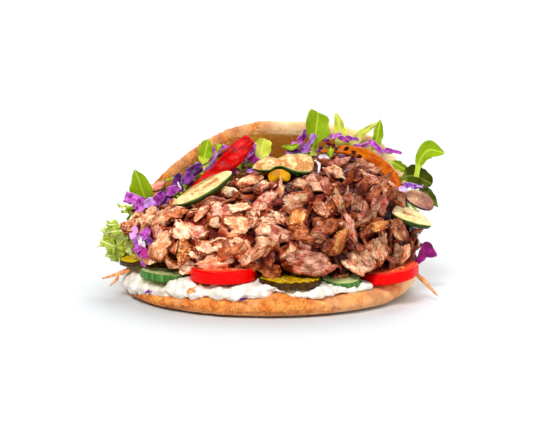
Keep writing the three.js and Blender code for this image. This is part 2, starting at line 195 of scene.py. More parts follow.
@lru_cache(maxsize=None)
def tube_faces(rows, ring):
    """Faces of a tube of rings with a middle point at each end, which come last."""
    index = np.arange(rows * ring).reshape(rows, ring)
    after = np.roll(index, -1, axis=1)
    sides = np.stack([index[:-1], after[:-1], after[1:], index[1:]], -1).reshape(-1, 4)
    first, last = rows * ring, rows * ring + 1
    none = np.full(ring, -1)
    start = np.stack([after[0], index[0], np.full(ring, first), none], -1)
    end = np.stack([index[-1], after[-1], np.full(ring, last), none], -1)
    return np.concatenate([sides, start, end])


def remeshed(node, voxel, smoothing):
    """Points, normals and faces of a CAD node's surface as an even grid of small squares."""
    work = bpy.data.objects.new("work", nodes[node].data.copy())
    bpy.context.scene.collection.objects.link(work)
    weld = work.modifiers.new("weld", "WELD")
    weld.merge_threshold = 1e-6
    remesh = work.modifiers.new("remesh", "REMESH")
    remesh.mode = "VOXEL"
    remesh.voxel_size = voxel * MM
    smooth = work.modifiers.new("smooth", "SMOOTH")
    smooth.factor = 0.5
    smooth.iterations = smoothing
    graph = bpy.context.evaluated_depsgraph_get()
    mesh = bpy.data.meshes.new_from_object(work.evaluated_get(graph))
    bpy.data.objects.remove(work)
    points = np.empty(len(mesh.vertices) * 3, np.float32)
    mesh.vertices.foreach_get("co", points)
    normals = np.empty(len(mesh.vertices) * 3, np.float32)
    mesh.vertices.foreach_get("normal", normals)
    faces = np.empty(len(mesh.loops), np.int32)
    mesh.loops.foreach_get("vertex_index", faces)
    bpy.data.meshes.remove(mesh)
    return points.reshape(-1, 3) / MM, normals.reshape(-1, 3), faces.reshape(-1, 4)


# ---------------------------------------------------------------- shaders

# How far red, green and blue light sink in, as shares of the depth.
FLESH_RADIUS = (1.0, 0.5, 0.3)
LEAF_RADIUS = (0.3, 1.0, 0.15)
CABBAGE_RADIUS = (0.6, 0.3, 1.0)
PEPPER_RADIUS = (1.0, 0.2, 0.05)

# How strongly the open crumb inside the hood glows: painted light, an emission that stands in for light
# reaching the shaded inside.
THROUGH_BREAD = 0.22


def colour_or_socket(value):
    """Screen values as a linear colour; a socket stays as it is."""
    return srgb(*value) if isinstance(value, tuple) else value


class Shader:
    """One procedural material, put together node by node."""

    def __init__(self, name, specular, soft=0, depth=0, radius=FLESH_RADIUS, coat=None):
        """soft is the share of light that sinks in, depth is in mm, and coat is weight and roughness."""
        self.material = bpy.data.materials.new(name)
        self.material.use_nodes = True
        self.tree = self.material.node_tree
        self.surface = self.tree.nodes["Principled BSDF"]
        self.fix("Specular IOR Level", specular)
        if soft:
            self.fix("Subsurface Weight", soft)
            self.fix("Subsurface Radius", radius)
            self.fix("Subsurface Scale", depth * MM)
        if coat:
            self.fix("Coat Weight", coat[0])
            self.fix("Coat Roughness", coat[1])
        self.place = self.node("TexCoord").outputs["Object"]

    def fix(self, socket, value):
        """Sets one value for the whole surface."""
        self.surface.inputs[socket].default_value = value

    def set(self, socket, source):
        self.tree.links.new(source, self.surface.inputs[socket])

    def node(self, kind, inputs=(), **settings):
        node = self.tree.nodes.new("ShaderNode" + kind)
        for key, value in settings.items():
            setattr(node, key, value)
        for socket, value in dict(inputs).items():
            if isinstance(value, bpy.types.NodeSocket):
                self.tree.links.new(value, node.inputs[socket])
            else:
                node.inputs[socket].default_value = value
        return node

    def value(self, name):
        """A value kept at each point of the mesh."""
        return self.node("Attribute", attribute_name=name).outputs["Fac"]

    def vector(self, name):
        """Three values kept at each point of the mesh, in mm where they are lengths."""
        return self.node("Attribute", attribute_name=name).outputs["Vector"]

    def split(self, vector):
        return self.node("SeparateXYZ", {0: vector}).outputs

    def noise(self, wave, detail, vector=None, stretch=(1, 1, 1)):
        """Noise from 0 to 1 with lumps about wave mm across, over the object or a vector."""
        where = vector or self.place
        if stretch != (1, 1, 1):
            where = self.node("Mapping", {0: where, "Scale": stretch}).outputs[0]
        scale = 1 / (wave * (1 if vector else MM))
        return self.node("TexNoise", {"Vector": where, "Scale": scale, "Detail": detail}).outputs[0]

    def cells(self, size):
        """Distance to the nearest of scattered points about size mm apart."""
        texture = self.node("TexVoronoi", {"Vector": self.place, "Scale": 1 / (size * MM)}, feature="F1")
        return texture.outputs["Distance"]

    def math(self, operation, a, b=0.0):
        return self.node("Math", {0: a, 1: b}, operation=operation).outputs[0]

    def times(self, a, b):
        return self.math("MULTIPLY", a, b)

    def between(self, value, low, high, to_low=0.0, to_high=1.0):
        """value from low to high, turned into to_low to to_high."""
        inputs = {0: value, 1: low, 2: high, 3: to_low, 4: to_high}
        return self.node("MapRange", inputs, interpolation_type="SMOOTHSTEP").outputs[0]

    def spread(self, wave, detail, low, high, to_low=0.0, to_high=1.0, **where):
        """Noise stretched so that low turns into to_low and high into to_high."""
        return self.between(self.noise(wave, detail, **where), low, high, to_low, to_high)

    def rough(self, wave, low, high, edge=0.35, detail=2):
        """Roughness that wanders from low to high."""
        self.set("Roughness", self.spread(wave, detail, edge, 1 - edge, low, high))

    def ramp(self, value, *stops):
        """A colour for value: each stop is a place and a colour."""
        node = self.node("ValToRGB", {0: value})
        elements = node.color_ramp.elements
        while len(elements) < len(stops):
            elements.new(0.5)
        for element, (place, colour) in zip(elements, stops):
            element.position = place
            element.color = srgb(*colour)
        return node.outputs[0]

    def blotches(self, wave, detail, dark, light, low=0.35, high=0.65):
        """Noise from a dark to a light colour."""
        return self.ramp(self.noise(wave, detail), (low, dark), (high, light))

    def mix(self, share, a, b, blend="MIX"):
        inputs = {0: share, 6: colour_or_socket(a), 7: colour_or_socket(b)}
        return self.node("Mix", inputs, data_type="RGBA", blend_type=blend).outputs[2]

    def brightened(self, colour, factor):
        return self.node("HueSaturation", {"Value": factor, "Color": colour}).outputs[0]

    def bump(self, height, depth):
        """Small relief depth mm deep, which adds to the relief before it."""
        before = self.surface.inputs["Normal"].links
        inputs = {"Height": height, "Distance": depth * MM, "Strength": 1.0}
        if before:
            inputs["Normal"] = before[0].from_socket
        self.set("Normal", self.node("Bump", inputs).outputs[0])


# ---------------------------------------------------------------- materials


def bread_material():
    """Its values are how much of the surface is crust, toasted, and open crumb; the open crumb glows a
    little, as painted light.
    """
    shader = Shader("bread_crust", 0.3)
    # Warm colour of the painted light that the open crumb gives off.
    shader.fix("Emission Color", srgb(230, 128, 40))
    crumb = shader.value("crumb")
    baked = shader.ramp(shader.noise(5, 5), (0.26, (176, 80, 20)), (0.43, (220, 122, 42)),
                        (0.6, (240, 154, 70)), (0.8, (252, 196, 126)))
    baked = shader.brightened(baked, shader.spread(1.1, 4, 0.35, 0.65, 0.72, 1.16))
    baked = shader.mix(shader.spread(1.6, 4, 0.54, 0.7), baked, (168, 84, 32))
    pale = shader.blotches(9, 4, (252, 200, 142), (255, 224, 176), high=0.7)
    surface = shader.mix(shader.value("crust"), pale, baked)
    burnt = shader.mix(shader.noise(2.2, 4), (128, 56, 18), (196, 104, 42))
    surface = shader.mix(shader.value("toast"), surface, burnt)
    # The open crumb's colours are set near golden white: crumb colour lightened as painted light, to make up
    # for the shade under the hood.
    open_crumb = shader.blotches(3, 5, (250, 172, 66), (255, 222, 138))
    shader.set("Base Color", shader.mix(crumb, surface, open_crumb))
    # The open crumb glows: painted light.
    shader.set("Emission Strength", shader.times(crumb, THROUGH_BREAD))
    shader.rough(4, 0.55, 0.8, 0.3)
    shader.bump(shader.noise(2.4, 5), 0.7)
    shader.bump(shader.noise(1.1, 4), 0.2)
    pores = shader.between(shader.cells(2.6), 0.15, 0.5)
    shader.bump(shader.times(pores, crumb), 0.8)
    return shader.material


def sauce_material():
    shader = Shader("white_sauce", 0.5, 0.25, 2)
    white = shader.blotches(5, 3, (218, 206, 188), (249, 245, 236))
    herbs = shader.times(shader.between(shader.cells(4.5), 0.1, 0.06), shader.spread(9, 1, 0.45, 0.6))
    shader.set("Base Color", shader.mix(herbs, white, (120, 140, 90)))
    shader.rough(3, 0.3, 0.55)
    shader.bump(shader.noise(1.6, 4), 0.35)
    return shader.material


def meat_material(name, fat, lean, roasted):
    """Shaved meat: blotched fat and lean with fine fibres, frayed seared edges and browned crust.

    Its values are fibre (mm along and across the fibres), tone, edge, crisp and deep. tone and deep
    carry painted shade: deep darkens a point the further it lies inside the heap.
    """
    shader = Shader("meat_" + name, 0.2, 0.1, 1)
    fibre = shader.vector("fibre")
    grain = shader.noise(1.1, 4, fibre, (0.4, 1, 1))
    lumps = shader.noise(1.3, 4, fibre, (0.7, 1, 1))
    blotch = shader.noise(3.6, 4, fibre, (0.7, 1, 1))
    flesh = shader.mix(shader.between(blotch, 0.38, 0.6), lean, fat)
    flesh = shader.mix(shader.between(grain, 0.5, 0.66, 0.0, 0.6), flesh, roasted)
    flesh = shader.mix(shader.between(lumps, 0.55, 0.7, 0.0, 0.2), flesh, fat)
    seared = shader.times(shader.value("edge"), shader.between(lumps, 0.6, 0.4, 0.1, 0.7))
    flesh = shader.mix(seared, flesh, roasted)
    # tone holds random tone and painted shade: darker to the right, in the hollows of the relief and on the
    # underside.
    tone = shader.value("tone")
    specks = shader.spread(0.8, 3, 0.36, 0.64, 0.74, 1.22, vector=fibre, stretch=(0.6, 1, 1))
    flesh = shader.brightened(flesh, shader.times(tone, specks))
    gamma = shader.between(tone, 0.4, 1.1, 1.4, 0.95)
    flesh = shader.node("Gamma", {"Color": flesh, "Gamma": gamma}).outputs[0]
    ragged = shader.spread(1.7, 5, 0.3, 0.7, -0.4, 0.4, vector=fibre)
    browned = shader.between(shader.math("ADD", shader.value("crisp"), ragged), 0.42, 0.8)
    crust = shader.ramp(shader.noise(1.0, 4, fibre), (0.34, (60, 12, 0)), (0.5, (140, 52, 12)),
                        (0.66, (212, 112, 50)))
    # Painted shade: the deeper inside the heap, the darker.
    shadow = shader.ramp(shader.value("deep"), (0.0, (255, 255, 255)), (0.4, (200, 116, 74)),
                         (1.0, (64, 8, 0)))
    colour = shader.mix(browned, flesh, crust)
    shader.set("Base Color", shader.mix(1.0, colour, shadow, "MULTIPLY"))
    shader.set("Roughness", shader.between(blotch, 0.35, 0.65, 0.22, 0.46))
    shader.bump(grain, 0.4)
    shader.bump(lumps, 0.45)
    return shader.material


def core_material(name, dark, light):
    """What is seen down the gaps of a heap."""
    shader = Shader(name, 0.05)
    lumps = shader.noise(5, 4)
    shader.set("Base Color", shader.ramp(lumps, (0.35, dark), (0.7, light)))
    shader.set("Roughness", shader.between(lumps, 0.3, 0.7, 0.5, 0.8))
    shader.bump(lumps, 1.2)
    return shader.material


def leaf_material(name, blade, young, rib):
    """A leaf with a pale middle rib and side veins.

    Its values are leaf (mm along and across, and the share of the way to the edge) and stalk.
    """
    shader = Shader(name, 0.15, 0.1, 1, LEAF_RADIUS)
    along, across, _ = shader.split(shader.vector("leaf"))
    aside = shader.math("ABSOLUTE", across)
    green = shader.mix(shader.noise(6, 3), blade, young)
    green = shader.mix(shader.spread(1.3, 2, 0.4, 0.7, 0.0, 0.35), green, blade)
    slanted = shader.math("SUBTRACT", along, shader.times(aside, 0.8))
    ripple = shader.math("ABSOLUTE", shader.math("SINE", shader.times(slanted, 0.85)))
    veins = shader.between(ripple, 0.2, 0.02, 0.0, 0.35)
    green = shader.mix(veins, green, young)
    middle = shader.between(aside, 0.75, 0.2, 0.0, 0.7)
    pale = shader.math("MAXIMUM", middle, shader.value("stalk"))
    shader.set("Base Color", shader.mix(pale, green, rib))
    shader.rough(4, 0.32, 0.57)
    shader.bump(shader.math("ADD", pale, veins), 0.35)
    shader.bump(shader.noise(1.1, 3), 0.2)
    return shader.material


def cabbage_material(name, dark, middle, light, white, white_share):
    """Shredded cabbage: folds of one hue with pale ribs and cut edges. Its values are leaf and tint."""
    shader = Shader(name, 0.2, 0.1, 1, CABBAGE_RADIUS)
    leaf = shader.vector("leaf")
    tint = shader.value("tint")
    hue = shader.ramp(shader.math("ADD", shader.noise(3, 3), tint), (0.3, dark), (0.5, middle), (0.7, light))
    cut = shader.math("MAXIMUM", shader.between(shader.split(leaf)[2], 0.8, 1.0, 0.0, 0.7),
                      shader.between(tint, 0.12, 0.2, 0.0, 0.8))
    shader.set("Base Color", shader.mix(shader.times(cut, white_share), hue, white))
    shader.rough(3, 0.34, 0.6)
    shader.bump(shader.noise(1.2, 2, leaf, (0.25, 1, 0)), 0.2)
    return shader.material


def pepper_material(name, deep, bright, char, char_share, gloss):
    """Roasted pepper: blotched, with char on its skin."""
    shader = Shader(name, gloss, 0.15, 1.5, PEPPER_RADIUS, (gloss / 4, 0.1))
    flesh = shader.blotches(5, 4, deep, bright, 0.36, 0.62)
    burnt = shader.math("ADD", shader.value("char"), shader.spread(2.6, 4, 0.3, 0.7, -0.35, 0.35))
    shader.set("Base Color", shader.mix(shader.between(burnt, 0.5, 0.75, 0, char_share), flesh, char))
    shader.rough(2, 0.22, 0.4, detail=3)
    shader.bump(shader.noise(3.2, 3), 0.7)
    shader.bump(shader.noise(0.9, 2), 0.12)
    return shader.material


def zucchini_material():
    """Grilled zucchini: cream flesh, green skin on its edges and brown marks of the grill."""
    shader = Shader("grilled_zucchini", 0.2, 0.2, 1.5)
    _, across, edge = shader.split(shader.vector("leaf"))
    flesh = shader.blotches(3.5, 3, (224, 180, 112), (244, 218, 160))
    seeds = shader.between(shader.cells(2.4), 0.32, 0.2)
    middle = shader.between(shader.math("ABSOLUTE", across), 4.4, 2.0)
    flesh = shader.mix(shader.times(seeds, middle), flesh, (250, 232, 186))
    grilled = shader.math("ADD", shader.value("char"), shader.spread(2, 4, 0.3, 0.7, -0.2, 0.2))
    brown = shader.mix(shader.noise(1.5, 3), (146, 66, 10), (222, 138, 56))
    flesh = shader.mix(shader.between(grilled, 0.3, 0.8, 0.0, 0.85), flesh, brown)
    skin = shader.mix(shader.noise(2.2, 3), (22, 34, 2), (58, 74, 10))
    inner_skin = shader.mix(shader.between(edge, 0.76, 0.86), flesh, (150, 168, 70))
    shader.set("Base Color", shader.mix(shader.between(edge, 0.84, 0.92), inner_skin, skin))
    shader.rough(2.5, 0.28, 0.5)
    shader.bump(shader.noise(1.4, 3), 0.3)
    shader.bump(grilled, -0.35)
    return shader.material


def aubergine_material():
    shader = Shader("grilled_aubergine", 0.45)
    along, _, edge = shader.split(shader.vector("leaf"))
    cooked = shader.blotches(3, 4, (112, 58, 48), (168, 106, 88))
    cream = shader.blotches(2, 4, (178, 118, 84), (226, 180, 142))
    flesh = shader.mix(shader.between(along, 5, 15), cream, cooked)
    shader.set("Base Color", shader.mix(shader.between(edge, 0.84, 0.96), flesh, (70, 32, 46)))
    shader.rough(2.5, 0.35, 0.6)
    shader.bump(shader.noise(1.5, 3), 0.4)
    return shader.material


def slice_material(name, soft, depth, coat, skin, skin_light, wall, flesh, core):
    """A round slice; its values are the share of the radius, the angle, and how much is skin."""
    shader = Shader(name, 0.08, soft, depth, coat=coat)
    vector = shader.vector("slice")
    share, _, rim = shader.split(vector)
    inner = shader.mix(shader.spread(4.5, 2, 0.42, 0.58), core, flesh)
    inside = shader.mix(shader.between(share, 0.7, 0.8), inner, wall)
    seeds = shader.between(shader.cells(2.6), 0.3, 0.2)
    band = shader.times(shader.between(share, 0.3, 0.42), shader.between(share, 0.74, 0.66))
    inside = shader.mix(shader.times(seeds, band), inside, (240, 232, 190))
    streaks = shader.spread(1.2, 3, 0.42, 0.64, vector=vector, stretch=(0.1, 9, 0.1))
    outside = shader.mix(streaks, skin, skin_light)
    shader.set("Base Color", shader.mix(rim, inside, outside))
    shader.rough(3, 0.16, 0.34)
    shader.bump(shader.noise(1.7, 3), 0.22)
    return shader.material


def carrot_material():
    shader = Shader("carrot", 0.5)
    shader.set("Base Color", shader.blotches(2.5, 3, (206, 116, 50), (242, 178, 112)))
    shader.rough(2, 0.35, 0.55)
    shader.bump(shader.noise(1.2, 3, stretch=(0.4, 1, 1)), 0.3)
    return shader.material


# ---------------------------------------------------------------- bread and sauce

HINGE = np.array([0.0, 30.0, 19.0])


def oval(points, middle, half):
    """How far points are from a middle, as shares of the half sizes of an oval."""
    return np.linalg.norm((points - middle) / half, axis=1)


def make_bread():
    points, normals, faces = remeshed("bread", voxel=1.9, smoothing=8)
    x, y, z = points.T
    hood = rise(z, 24, 32)
    outward = (normals * unit((points - HINGE) * [0.6, 1, 1])).sum(axis=1)
    inside = hood * rise(-outward, 0.3, 0.75)
    spread = noise(points, 9, 2)
    left_band = rise(12 * noise(points, 16, 1) + 5 * spread - x, -24, 22)
    hood_crust = np.clip(left_band + 0.8 * rise(y, 34, 60) + 0.35 * (spread - 0.25), 0, 1)
    pale_end = 0.75 * rise(x, 78, 90) * rise(y, -70, -30)
    pale_foot = 0.35 * rise(4 - z, 0, 3)
    floured = 0.45 * rise(x, 10, 70)
    base_crust = np.clip(1 - pale_end - pale_foot - floured + 0.25 * spread, 0, 1)
    crust = hood * hood_crust + (1 - hood) * base_crust
    toast = rise(noise(points, 11, 4) + 0.6 * noise(points, 4, 9), 0.25, 0.95) * crust * 0.7
    low_patch = oval(points, [66, -62, 9], [10, 14, 4])
    toast = np.maximum(toast, 0.6 * rise(1.3 - low_patch + 0.6 * noise(points, 4, 5), 0, 1.1))
    top_patch = oval(points, [-9, 22, 103], [11, 14, 9])
    crust = np.maximum(crust, 0.75 * rise(1.4 - top_patch - 0.5 * spread, 0, 1.1))
    front = hood * rise(-normals[:, 1], 0.2, 0.8) * rise(60 - y, 0, 20)
    relief = 0.55 * noise(points, 13, 6) + (0.15 + 0.5 * crust) * noise(points, 3.8, 7)
    relief += 0.25 * crust * noise(points, 1.8, 8) + 1.2 * front
    flat_foot = rise(z, 0.2, 2.5)
    moved = points + normals * (relief * flat_foot)[:, None]
    lip = np.exp(-(((x - 5) / 8) ** 2)) * rise(z, 4, 11) * (1 - hood) * rise(-y, 58, 74)
    moved[:, 2] = np.maximum(moved[:, 2] + 3.2 * lip, 0)
    bread = Solid().add(moved, faces, crust=crust, toast=toast, crumb=inside)
    bread.build("flatbread", bread_material(), "bread_crust", "bread")


def make_sauce():
    points, normals, faces = remeshed("white_sauce", voxel=1.0, smoothing=4)
    relief = 1.2 * noise(points, 6, 11) + 1.1 * noise(points, 2.8, 12) + 0.5 * noise(points, 1.5, 13) + 0.3
    facing = rise(-normals[:, 1], -0.4, 0.3)
    moved = points + normals * (relief * (0.35 + 0.65 * facing))[:, None]
    x, _, z = points.T
    gap = facing * np.exp(-(((x - 5) / 6) ** 2)) * rise(18 - z, 0, 4)
    sag = facing * rise(-x, 10, 70) * rise(20 - z, 0, 6)
    moved += gap[:, None] * [0, 7, 1]
    moved += sag[:, None] * [-0.6, -1.6, -2.4]
    Solid().add(moved, faces).build("sauce_layer", sauce_material(), "white_sauce", "white_sauce")


# ---------------------------------------------------------------- slices

# Middle, radius, thickness and tilt to the right and to the rear of each slice.
SLICES = {
    "tomato_slice_left": ([-27, -61.5, 22.2], 20.2, 8, (0, -0.06)),
    "tomato_slice_right": ([73.6, -42, 18.4], 17.9, 6.8, (0.15, 0.02)),
    "cucumber_slice_left": ([-62, -47, 17.9], 16.4, 4.8, (-0.1, -0.07)),
    "cucumber_slice_right": ([43.4, -57, 16.6], 12, 3.6, (-0.02, 0.08)),
    "pickle_slice_left": ([-76, -25, 24.1], 17, 3.2, (-0.1, 0.03)),
    "pickle_slice_middle": ([13, -66, 18.6], 18.6, 4.2, (0, -0.03)),
}

# How square the edge is, and how high the relief and the cut waves are; then the looks: soft,
# depth, coat, and the colours of skin, lighter skin, wall, flesh and core.
SLICE_KINDS = {
    "tomato": ((6.0, 0.25, 0.0), (0.15, 2, (0.03, 0.08), (224, 0, 0), (240, 3, 2), (246, 84, 56),
                                  (236, 52, 26), (240, 120, 50))),
    "cucumber": ((5.0, 0.15, 0.0), (0.2, 1.5, (0.12, 0.12), (54, 100, 36), (92, 142, 66),
                                    (220, 232, 150), (216, 220, 148), (190, 206, 120))),
    "pickle": ((4.0, 0.15, 0.38), (0.15, 1.5, (0.15, 0.12), (54, 30, 0), (80, 48, 0), (206, 172, 8),
                                   (196, 158, 10), (170, 128, 6))),
}
LEFT_PICKLE_DROOP = 3.5


def rounded(sine, squareness):
    """A sine or cosine bent so that its circle becomes squarer."""
    return np.sign(sine) * np.abs(sine) ** (2 / squareness)


def disc(name, squareness, relief, crinkle, droop, seed):
    """A round slice, its faces and its values.

    crinkle is the height of its cut waves and droop how far its left end sinks, in mm.
    """
    centre, radius, thickness, tilt = SLICES[name]
    rings, flat_rings, around = 28, 18, 100
    turn = np.linspace(0, 2 * math.pi, around, endpoint=False)
    section = np.linspace(-math.pi / 2, math.pi / 2, rings)
    rim_share = np.clip(np.cos(section) ** (2 / squareness), 0, 1)
    flat = radius - thickness / 2
    inner = np.linspace(0.02, 0.985, flat_rings)
    edge = flat + rim_share * thickness / 2
    shares = np.concatenate([inner * flat, edge, (inner * flat)[::-1]])
    level = np.ones(flat_rings)
    heights = np.concatenate([-level, rounded(np.sin(section), squareness), level]) * thickness / 2
    skin = np.concatenate([0 * level, rise(rim_share, 0.35, 0.7), 0 * level])
    wobble = 1 + 0.012 * np.sin(5 * turn + seed) + 0.008 * np.sin(9 * turn + 2 * seed)
    x = np.outer(shares, np.cos(turn) * wobble)
    y = np.outer(shares, np.sin(turn) * wobble)
    local = np.stack([x, y, np.repeat(heights[:, None], around, axis=1)], -1)
    local[..., 2] += relief * noise(local, 4.5, seed) * (1 - 0.6 * skin[:, None])
    local[..., 2] += crinkle * np.sin((x * 0.8 + y * 0.6) * 2 * math.pi / 4.6)
    local[..., 2] += tilt[0] * x + tilt[1] * y - droop * rise(-x, 0, radius)
    ends = [[0, 0, -thickness / 2], [0, 0, thickness / 2]]
    points = np.vstack([local.reshape(-1, 3), ends]) + centre
    values = np.stack(np.broadcast_arrays(shares[:, None] / radius, turn[None], skin[:, None]), -1)
    values = np.vstack([values.reshape(-1, 3), np.zeros((2, 3))])
    return points, tube_faces(len(shares), around), values


def make_slices():
    materials = {kind: slice_material(kind, *look) for kind, (_, look) in SLICE_KINDS.items()}
    for seed, name in enumerate(SLICES):
        kind = name.split("_")[0]
        shape, _ = SLICE_KINDS[kind]
        droop = LEFT_PICKLE_DROOP if name == "pickle_slice_left" else 0
        points, faces, values = disc(name, *shape, droop, seed)
        piece = Solid().add(points, faces, slice=values)
        piece.build(name.replace("slice", "round"), materials[kind], kind, name)


# ---------------------------------------------------------------- strips and leaves

# The line each strip or leaf follows, the way its broad side looks, and its half width.
RIBBONS = {
    "zucchini_slice_left": ([[-57, -33, 59], [-40, -28, 67.5], [-23, -22, 77.5]], [-0.35, -0.42, 0.84], 8.6),
    "zucchini_slice_middle": ([[-10, -15, 79], [-2, -15, 81], [7.5, -14.5, 83], [18, -14, 81.5],
                               [28, -13, 81.5]], [0, -0.62, 0.78], 9.2),
    "zucchini_slice_right": ([[75, -30, 54], [88, -26, 50], [101, -20, 44.5]], [0.3, -0.4, 0.87], 9),
    "red_pepper_strip": ([[-52, -13, 63], [-32.3, -10, 76.3], [-11.5, -5, 96.5]], [-0.25, -0.9, 0.36], 6.6),
    "orange_pepper_strip": ([[33, 3, 87.5], [48, 2, 88.5], [63, 0, 84.5], [75, -3, 76], [83, -8, 63]],
                            [0.1, -0.92, 0.38], 3.9),
    "yellow_pepper_piece": ([[0, -21.3, 72.8], [6.5, -21.5, 76], [13, -21.3, 73]], [0, -0.8, 0.6], 3.6),
    "aubergine_slice": ([[86.5, -5, 61.5], [95.5, -6, 57.5], [104, -7.5, 52.5]], [0.45, -0.8, 0.4], 6),
    "rocket_leaf_left": ([[-76, -3, 50], [-80, -5, 63], [-84.5, -7, 77]], [-0.25, -0.95, 0.1], 7.6),
    "rocket_leaf_upper_left": ([[-42, -4, 80], [-40, -3, 88], [-38.3, -3, 95.5]], [-0.1, -0.98, 0.1], 4.6),
    "rocket_leaf_top": ([[24, -2, 78], [29, 1, 95], [31, 3, 112.5]], [0.12, -0.97, 0.2], 8),
    "rocket_leaf_right_curl": ([[93, -3.5, 72], [95.5, -3, 82], [101, -2.5, 88.8], [111, -2, 86.8]],
                               [-0.1, -0.98, 0.15], 5.6),
    "rocket_leaf_right_fold": ([[83, 4, 70], [93, 3, 71.5], [104, 1.5, 66.5]], [0.15, -0.92, 0.36], 7.2),
    "rocket_leaf_right_tuck": ([[76.5, 9, 81], [83, 8.5, 77.5], [89, 8, 74]], [0.15, -0.95, 0.2], 3.2),
    "rocket_leaf_right_low": ([[95, 2, 66], [101, 1, 60], [108, 0, 52]], [0.3, -0.9, 0.2], 3.6),
    "rocket_leaf_shoulder": ([[66, 11, 86], [69.5, 12.5, 96], [71.3, 12.5, 107]], [0.2, -0.95, 0.1], 3.6),
    "lettuce_strip_upright": ([[48.5, 12, 86], [46, 13, 98], [43, 13, 111]], [0, -1, 0.1], 5.4),
    "lettuce_strip_leaning": ([[50, 16, 86], [59, 15, 97], [70.5, 14, 105]], [0, -1, 0.1], 3.4),
    "lettuce_rib_middle": ([[-7, 1, 77], [-5, 5, 86], [-3, 8, 95]], [0.1, -0.97, 0.2], 5.4),
    "cabbage_shred_low_left": ([[-81, -35, 41], [-77.5, -42, 34], [-73, -46.5, 28.5]],
                               [-0.5, -0.86, 0.1], 5),
    "cabbage_shred_left": ([[-85, -13, 60], [-78.5, -15, 54.5], [-69, -15, 60]], [-0.3, -0.95, 0.1], 4.6),
    "cabbage_shred_upper_left": ([[-66, -11, 59], [-57, -8, 68], [-47, -3, 74.5]], [-0.3, -0.9, 0.3], 4.6),
    "cabbage_shred_by_pepper": ([[-46, 1.5, 76], [-37, 3, 85], [-28, 4.5, 91]], [-0.3, -0.9, 0.3], 3),
    "cabbage_shred_middle": ([[-17, -4.5, 83.5], [-12, -2, 86], [-8.5, -2, 91]], [0, -0.9, 0.4], 2.8),
    "cabbage_shred_top": ([[13, 6, 87], [19, 7, 91], [24, 8, 97]], [0.1, -0.95, 0.2], 3.2),
    "cabbage_shred_top_right": ([[34.5, 9.5, 94.5], [43, 8.5, 95.5], [53, 8, 93.5]], [0, -0.9, 0.4], 2.4),
    "cabbage_shred_shoulder": ([[59, 7.5, 91.5], [68.5, 7, 90], [79, 5.5, 85.8]], [0.2, -0.9, 0.4], 2.4),
    "cabbage_shred_right": ([[84.5, -9, 65.5], [89, -10, 67.5], [94.5, -10, 66.8]], [0.3, -0.9, 0.2], 2.8),
    "cabbage_leaf_low_right": ([[93, -18, 18.5], [97, -17, 25], [103, -15, 29.5]], [0.2, -0.97, 0], 6.4),
    "carrot_shred_left": ([[-86, -32, 18], [-94, -28, 14.5], [-105, -22, 10]], [0, -1, 0.2], 1.7),
    "carrot_shred_right": ([[90.5, -31, 16], [95.5, -35.5, 12], [100, -39, 7.5], [104, -42, 3.4]],
                           [0.2, -1, 0.2], 1.7),
}


def strip_outline(u):
    return np.sqrt(np.clip(1 - np.abs(2 * u - 1) ** 6, 0, 1))


def oval_outline(u):
    return np.sqrt(np.clip(1 - (2 * u - 1) ** 2, 0, 1))


def wedge_outline(u):
    return np.minimum(1, 0.12 + 0.98 * u) * np.sqrt(np.clip(1 - u**18, 0, 1))


def taper_outline(u):
    return np.minimum(1, 3 * u + 0.25) ** 0.6 * (1 - u) ** 0.45


def blade_outline(u):
    """A rocket leaf: a short stalk, a broad blade with shallow lobes and a blunt point."""
    body = 0.1 + 0.9 * rise(u, 0.04, 0.42) * np.clip(1 - u**4, 0, 1) ** 0.6
    lobes = sum(np.exp(-(((u - place) / 0.05) ** 2)) for place in (0.34, 0.62))
    return body * (1 - 0.16 * lobes)


def frilled_outline(u):
    return strip_outline(u) * (0.8 + 0.2 * np.abs(np.sin(u * 17)))


def frisee_outline(u):
    """A leaflet with deep lobes that point outwards."""
    lobes = np.abs((u * 4.2) % 1 - 0.4) / 0.6
    return (1 - 0.84 * lobes) * rise(u, -0.1, 0.35) * np.clip(1.02 - u**3, 0, 1) ** 0.6


def profile(*stops):
    """An outline through stops of (share of the length, share of the half width), a little rounded."""
    places, widths = np.array(stops).T

    def outline(u):
        return sum(np.interp(u + shift, places, widths) for shift in (-0.025, 0, 0.025)) / 3

    return outline


two_lobed_outline = profile((0, 0.1), (0.1, 0.42), (0.3, 0.74), (0.4, 0.5), (0.47, 0.4), (0.56, 0.66),
                            (0.72, 0.94), (0.82, 1.0), (0.93, 0.96), (0.98, 0.7), (1, 0.3))
pepper_outline = profile((0, 0.05), (0.12, 0.34), (0.27, 0.55), (0.4, 0.66), (0.5, 0.64), (0.7, 1),
                         (0.8, 0.96), (0.88, 0.86), (0.96, 0.72), (1, 0.5))
arc_outline = profile((0, 0.15), (0.08, 0.42), (0.2, 0.7), (0.4, 0.95), (0.6, 1), (0.9, 0.95), (1, 0.5))
kite_outline = profile((0, 0.1), (0.36, 0.1), (0.46, 0.34), (0.6, 0.9), (0.72, 1), (0.92, 0.97),
                       (0.98, 0.84), (1, 0.6))
shred_outline = profile((0, 0.5), (0.06, 0.85), (0.3, 1), (0.7, 0.9), (0.92, 0.7), (1, 0.35))
round_outline = profile((0, 0.12), (0.12, 0.6), (0.3, 0.92), (0.55, 1), (0.8, 0.86), (0.93, 0.55), (1, 0.15))
curl_outline = profile((0, 0.3), (0.2, 0.34), (0.38, 0.62), (0.55, 0.95), (0.7, 1), (0.85, 0.72),
                       (0.95, 0.36), (1, 0.1))
pointed_outline = profile((0, 0.08), (0.1, 0.4), (0.3, 0.92), (0.5, 1), (0.7, 0.84), (0.88, 0.46), (1, 0.06))


def along_line(points, face, count, twist=0.0):
    """Points on a line, with the directions across it and off its broad side.

    The broad side turns by twist radians from one end to the other.
    """
    line, ahead = spline(points, count)
    side = unit(np.cross(np.asarray(face, float), ahead))
    off = np.cross(ahead, side)
    turn = (np.linspace(-0.5, 0.5, count) * twist)[:, None]
    return line, side * np.cos(turn) + off * np.sin(turn), off * np.cos(turn) - side * np.sin(turn)


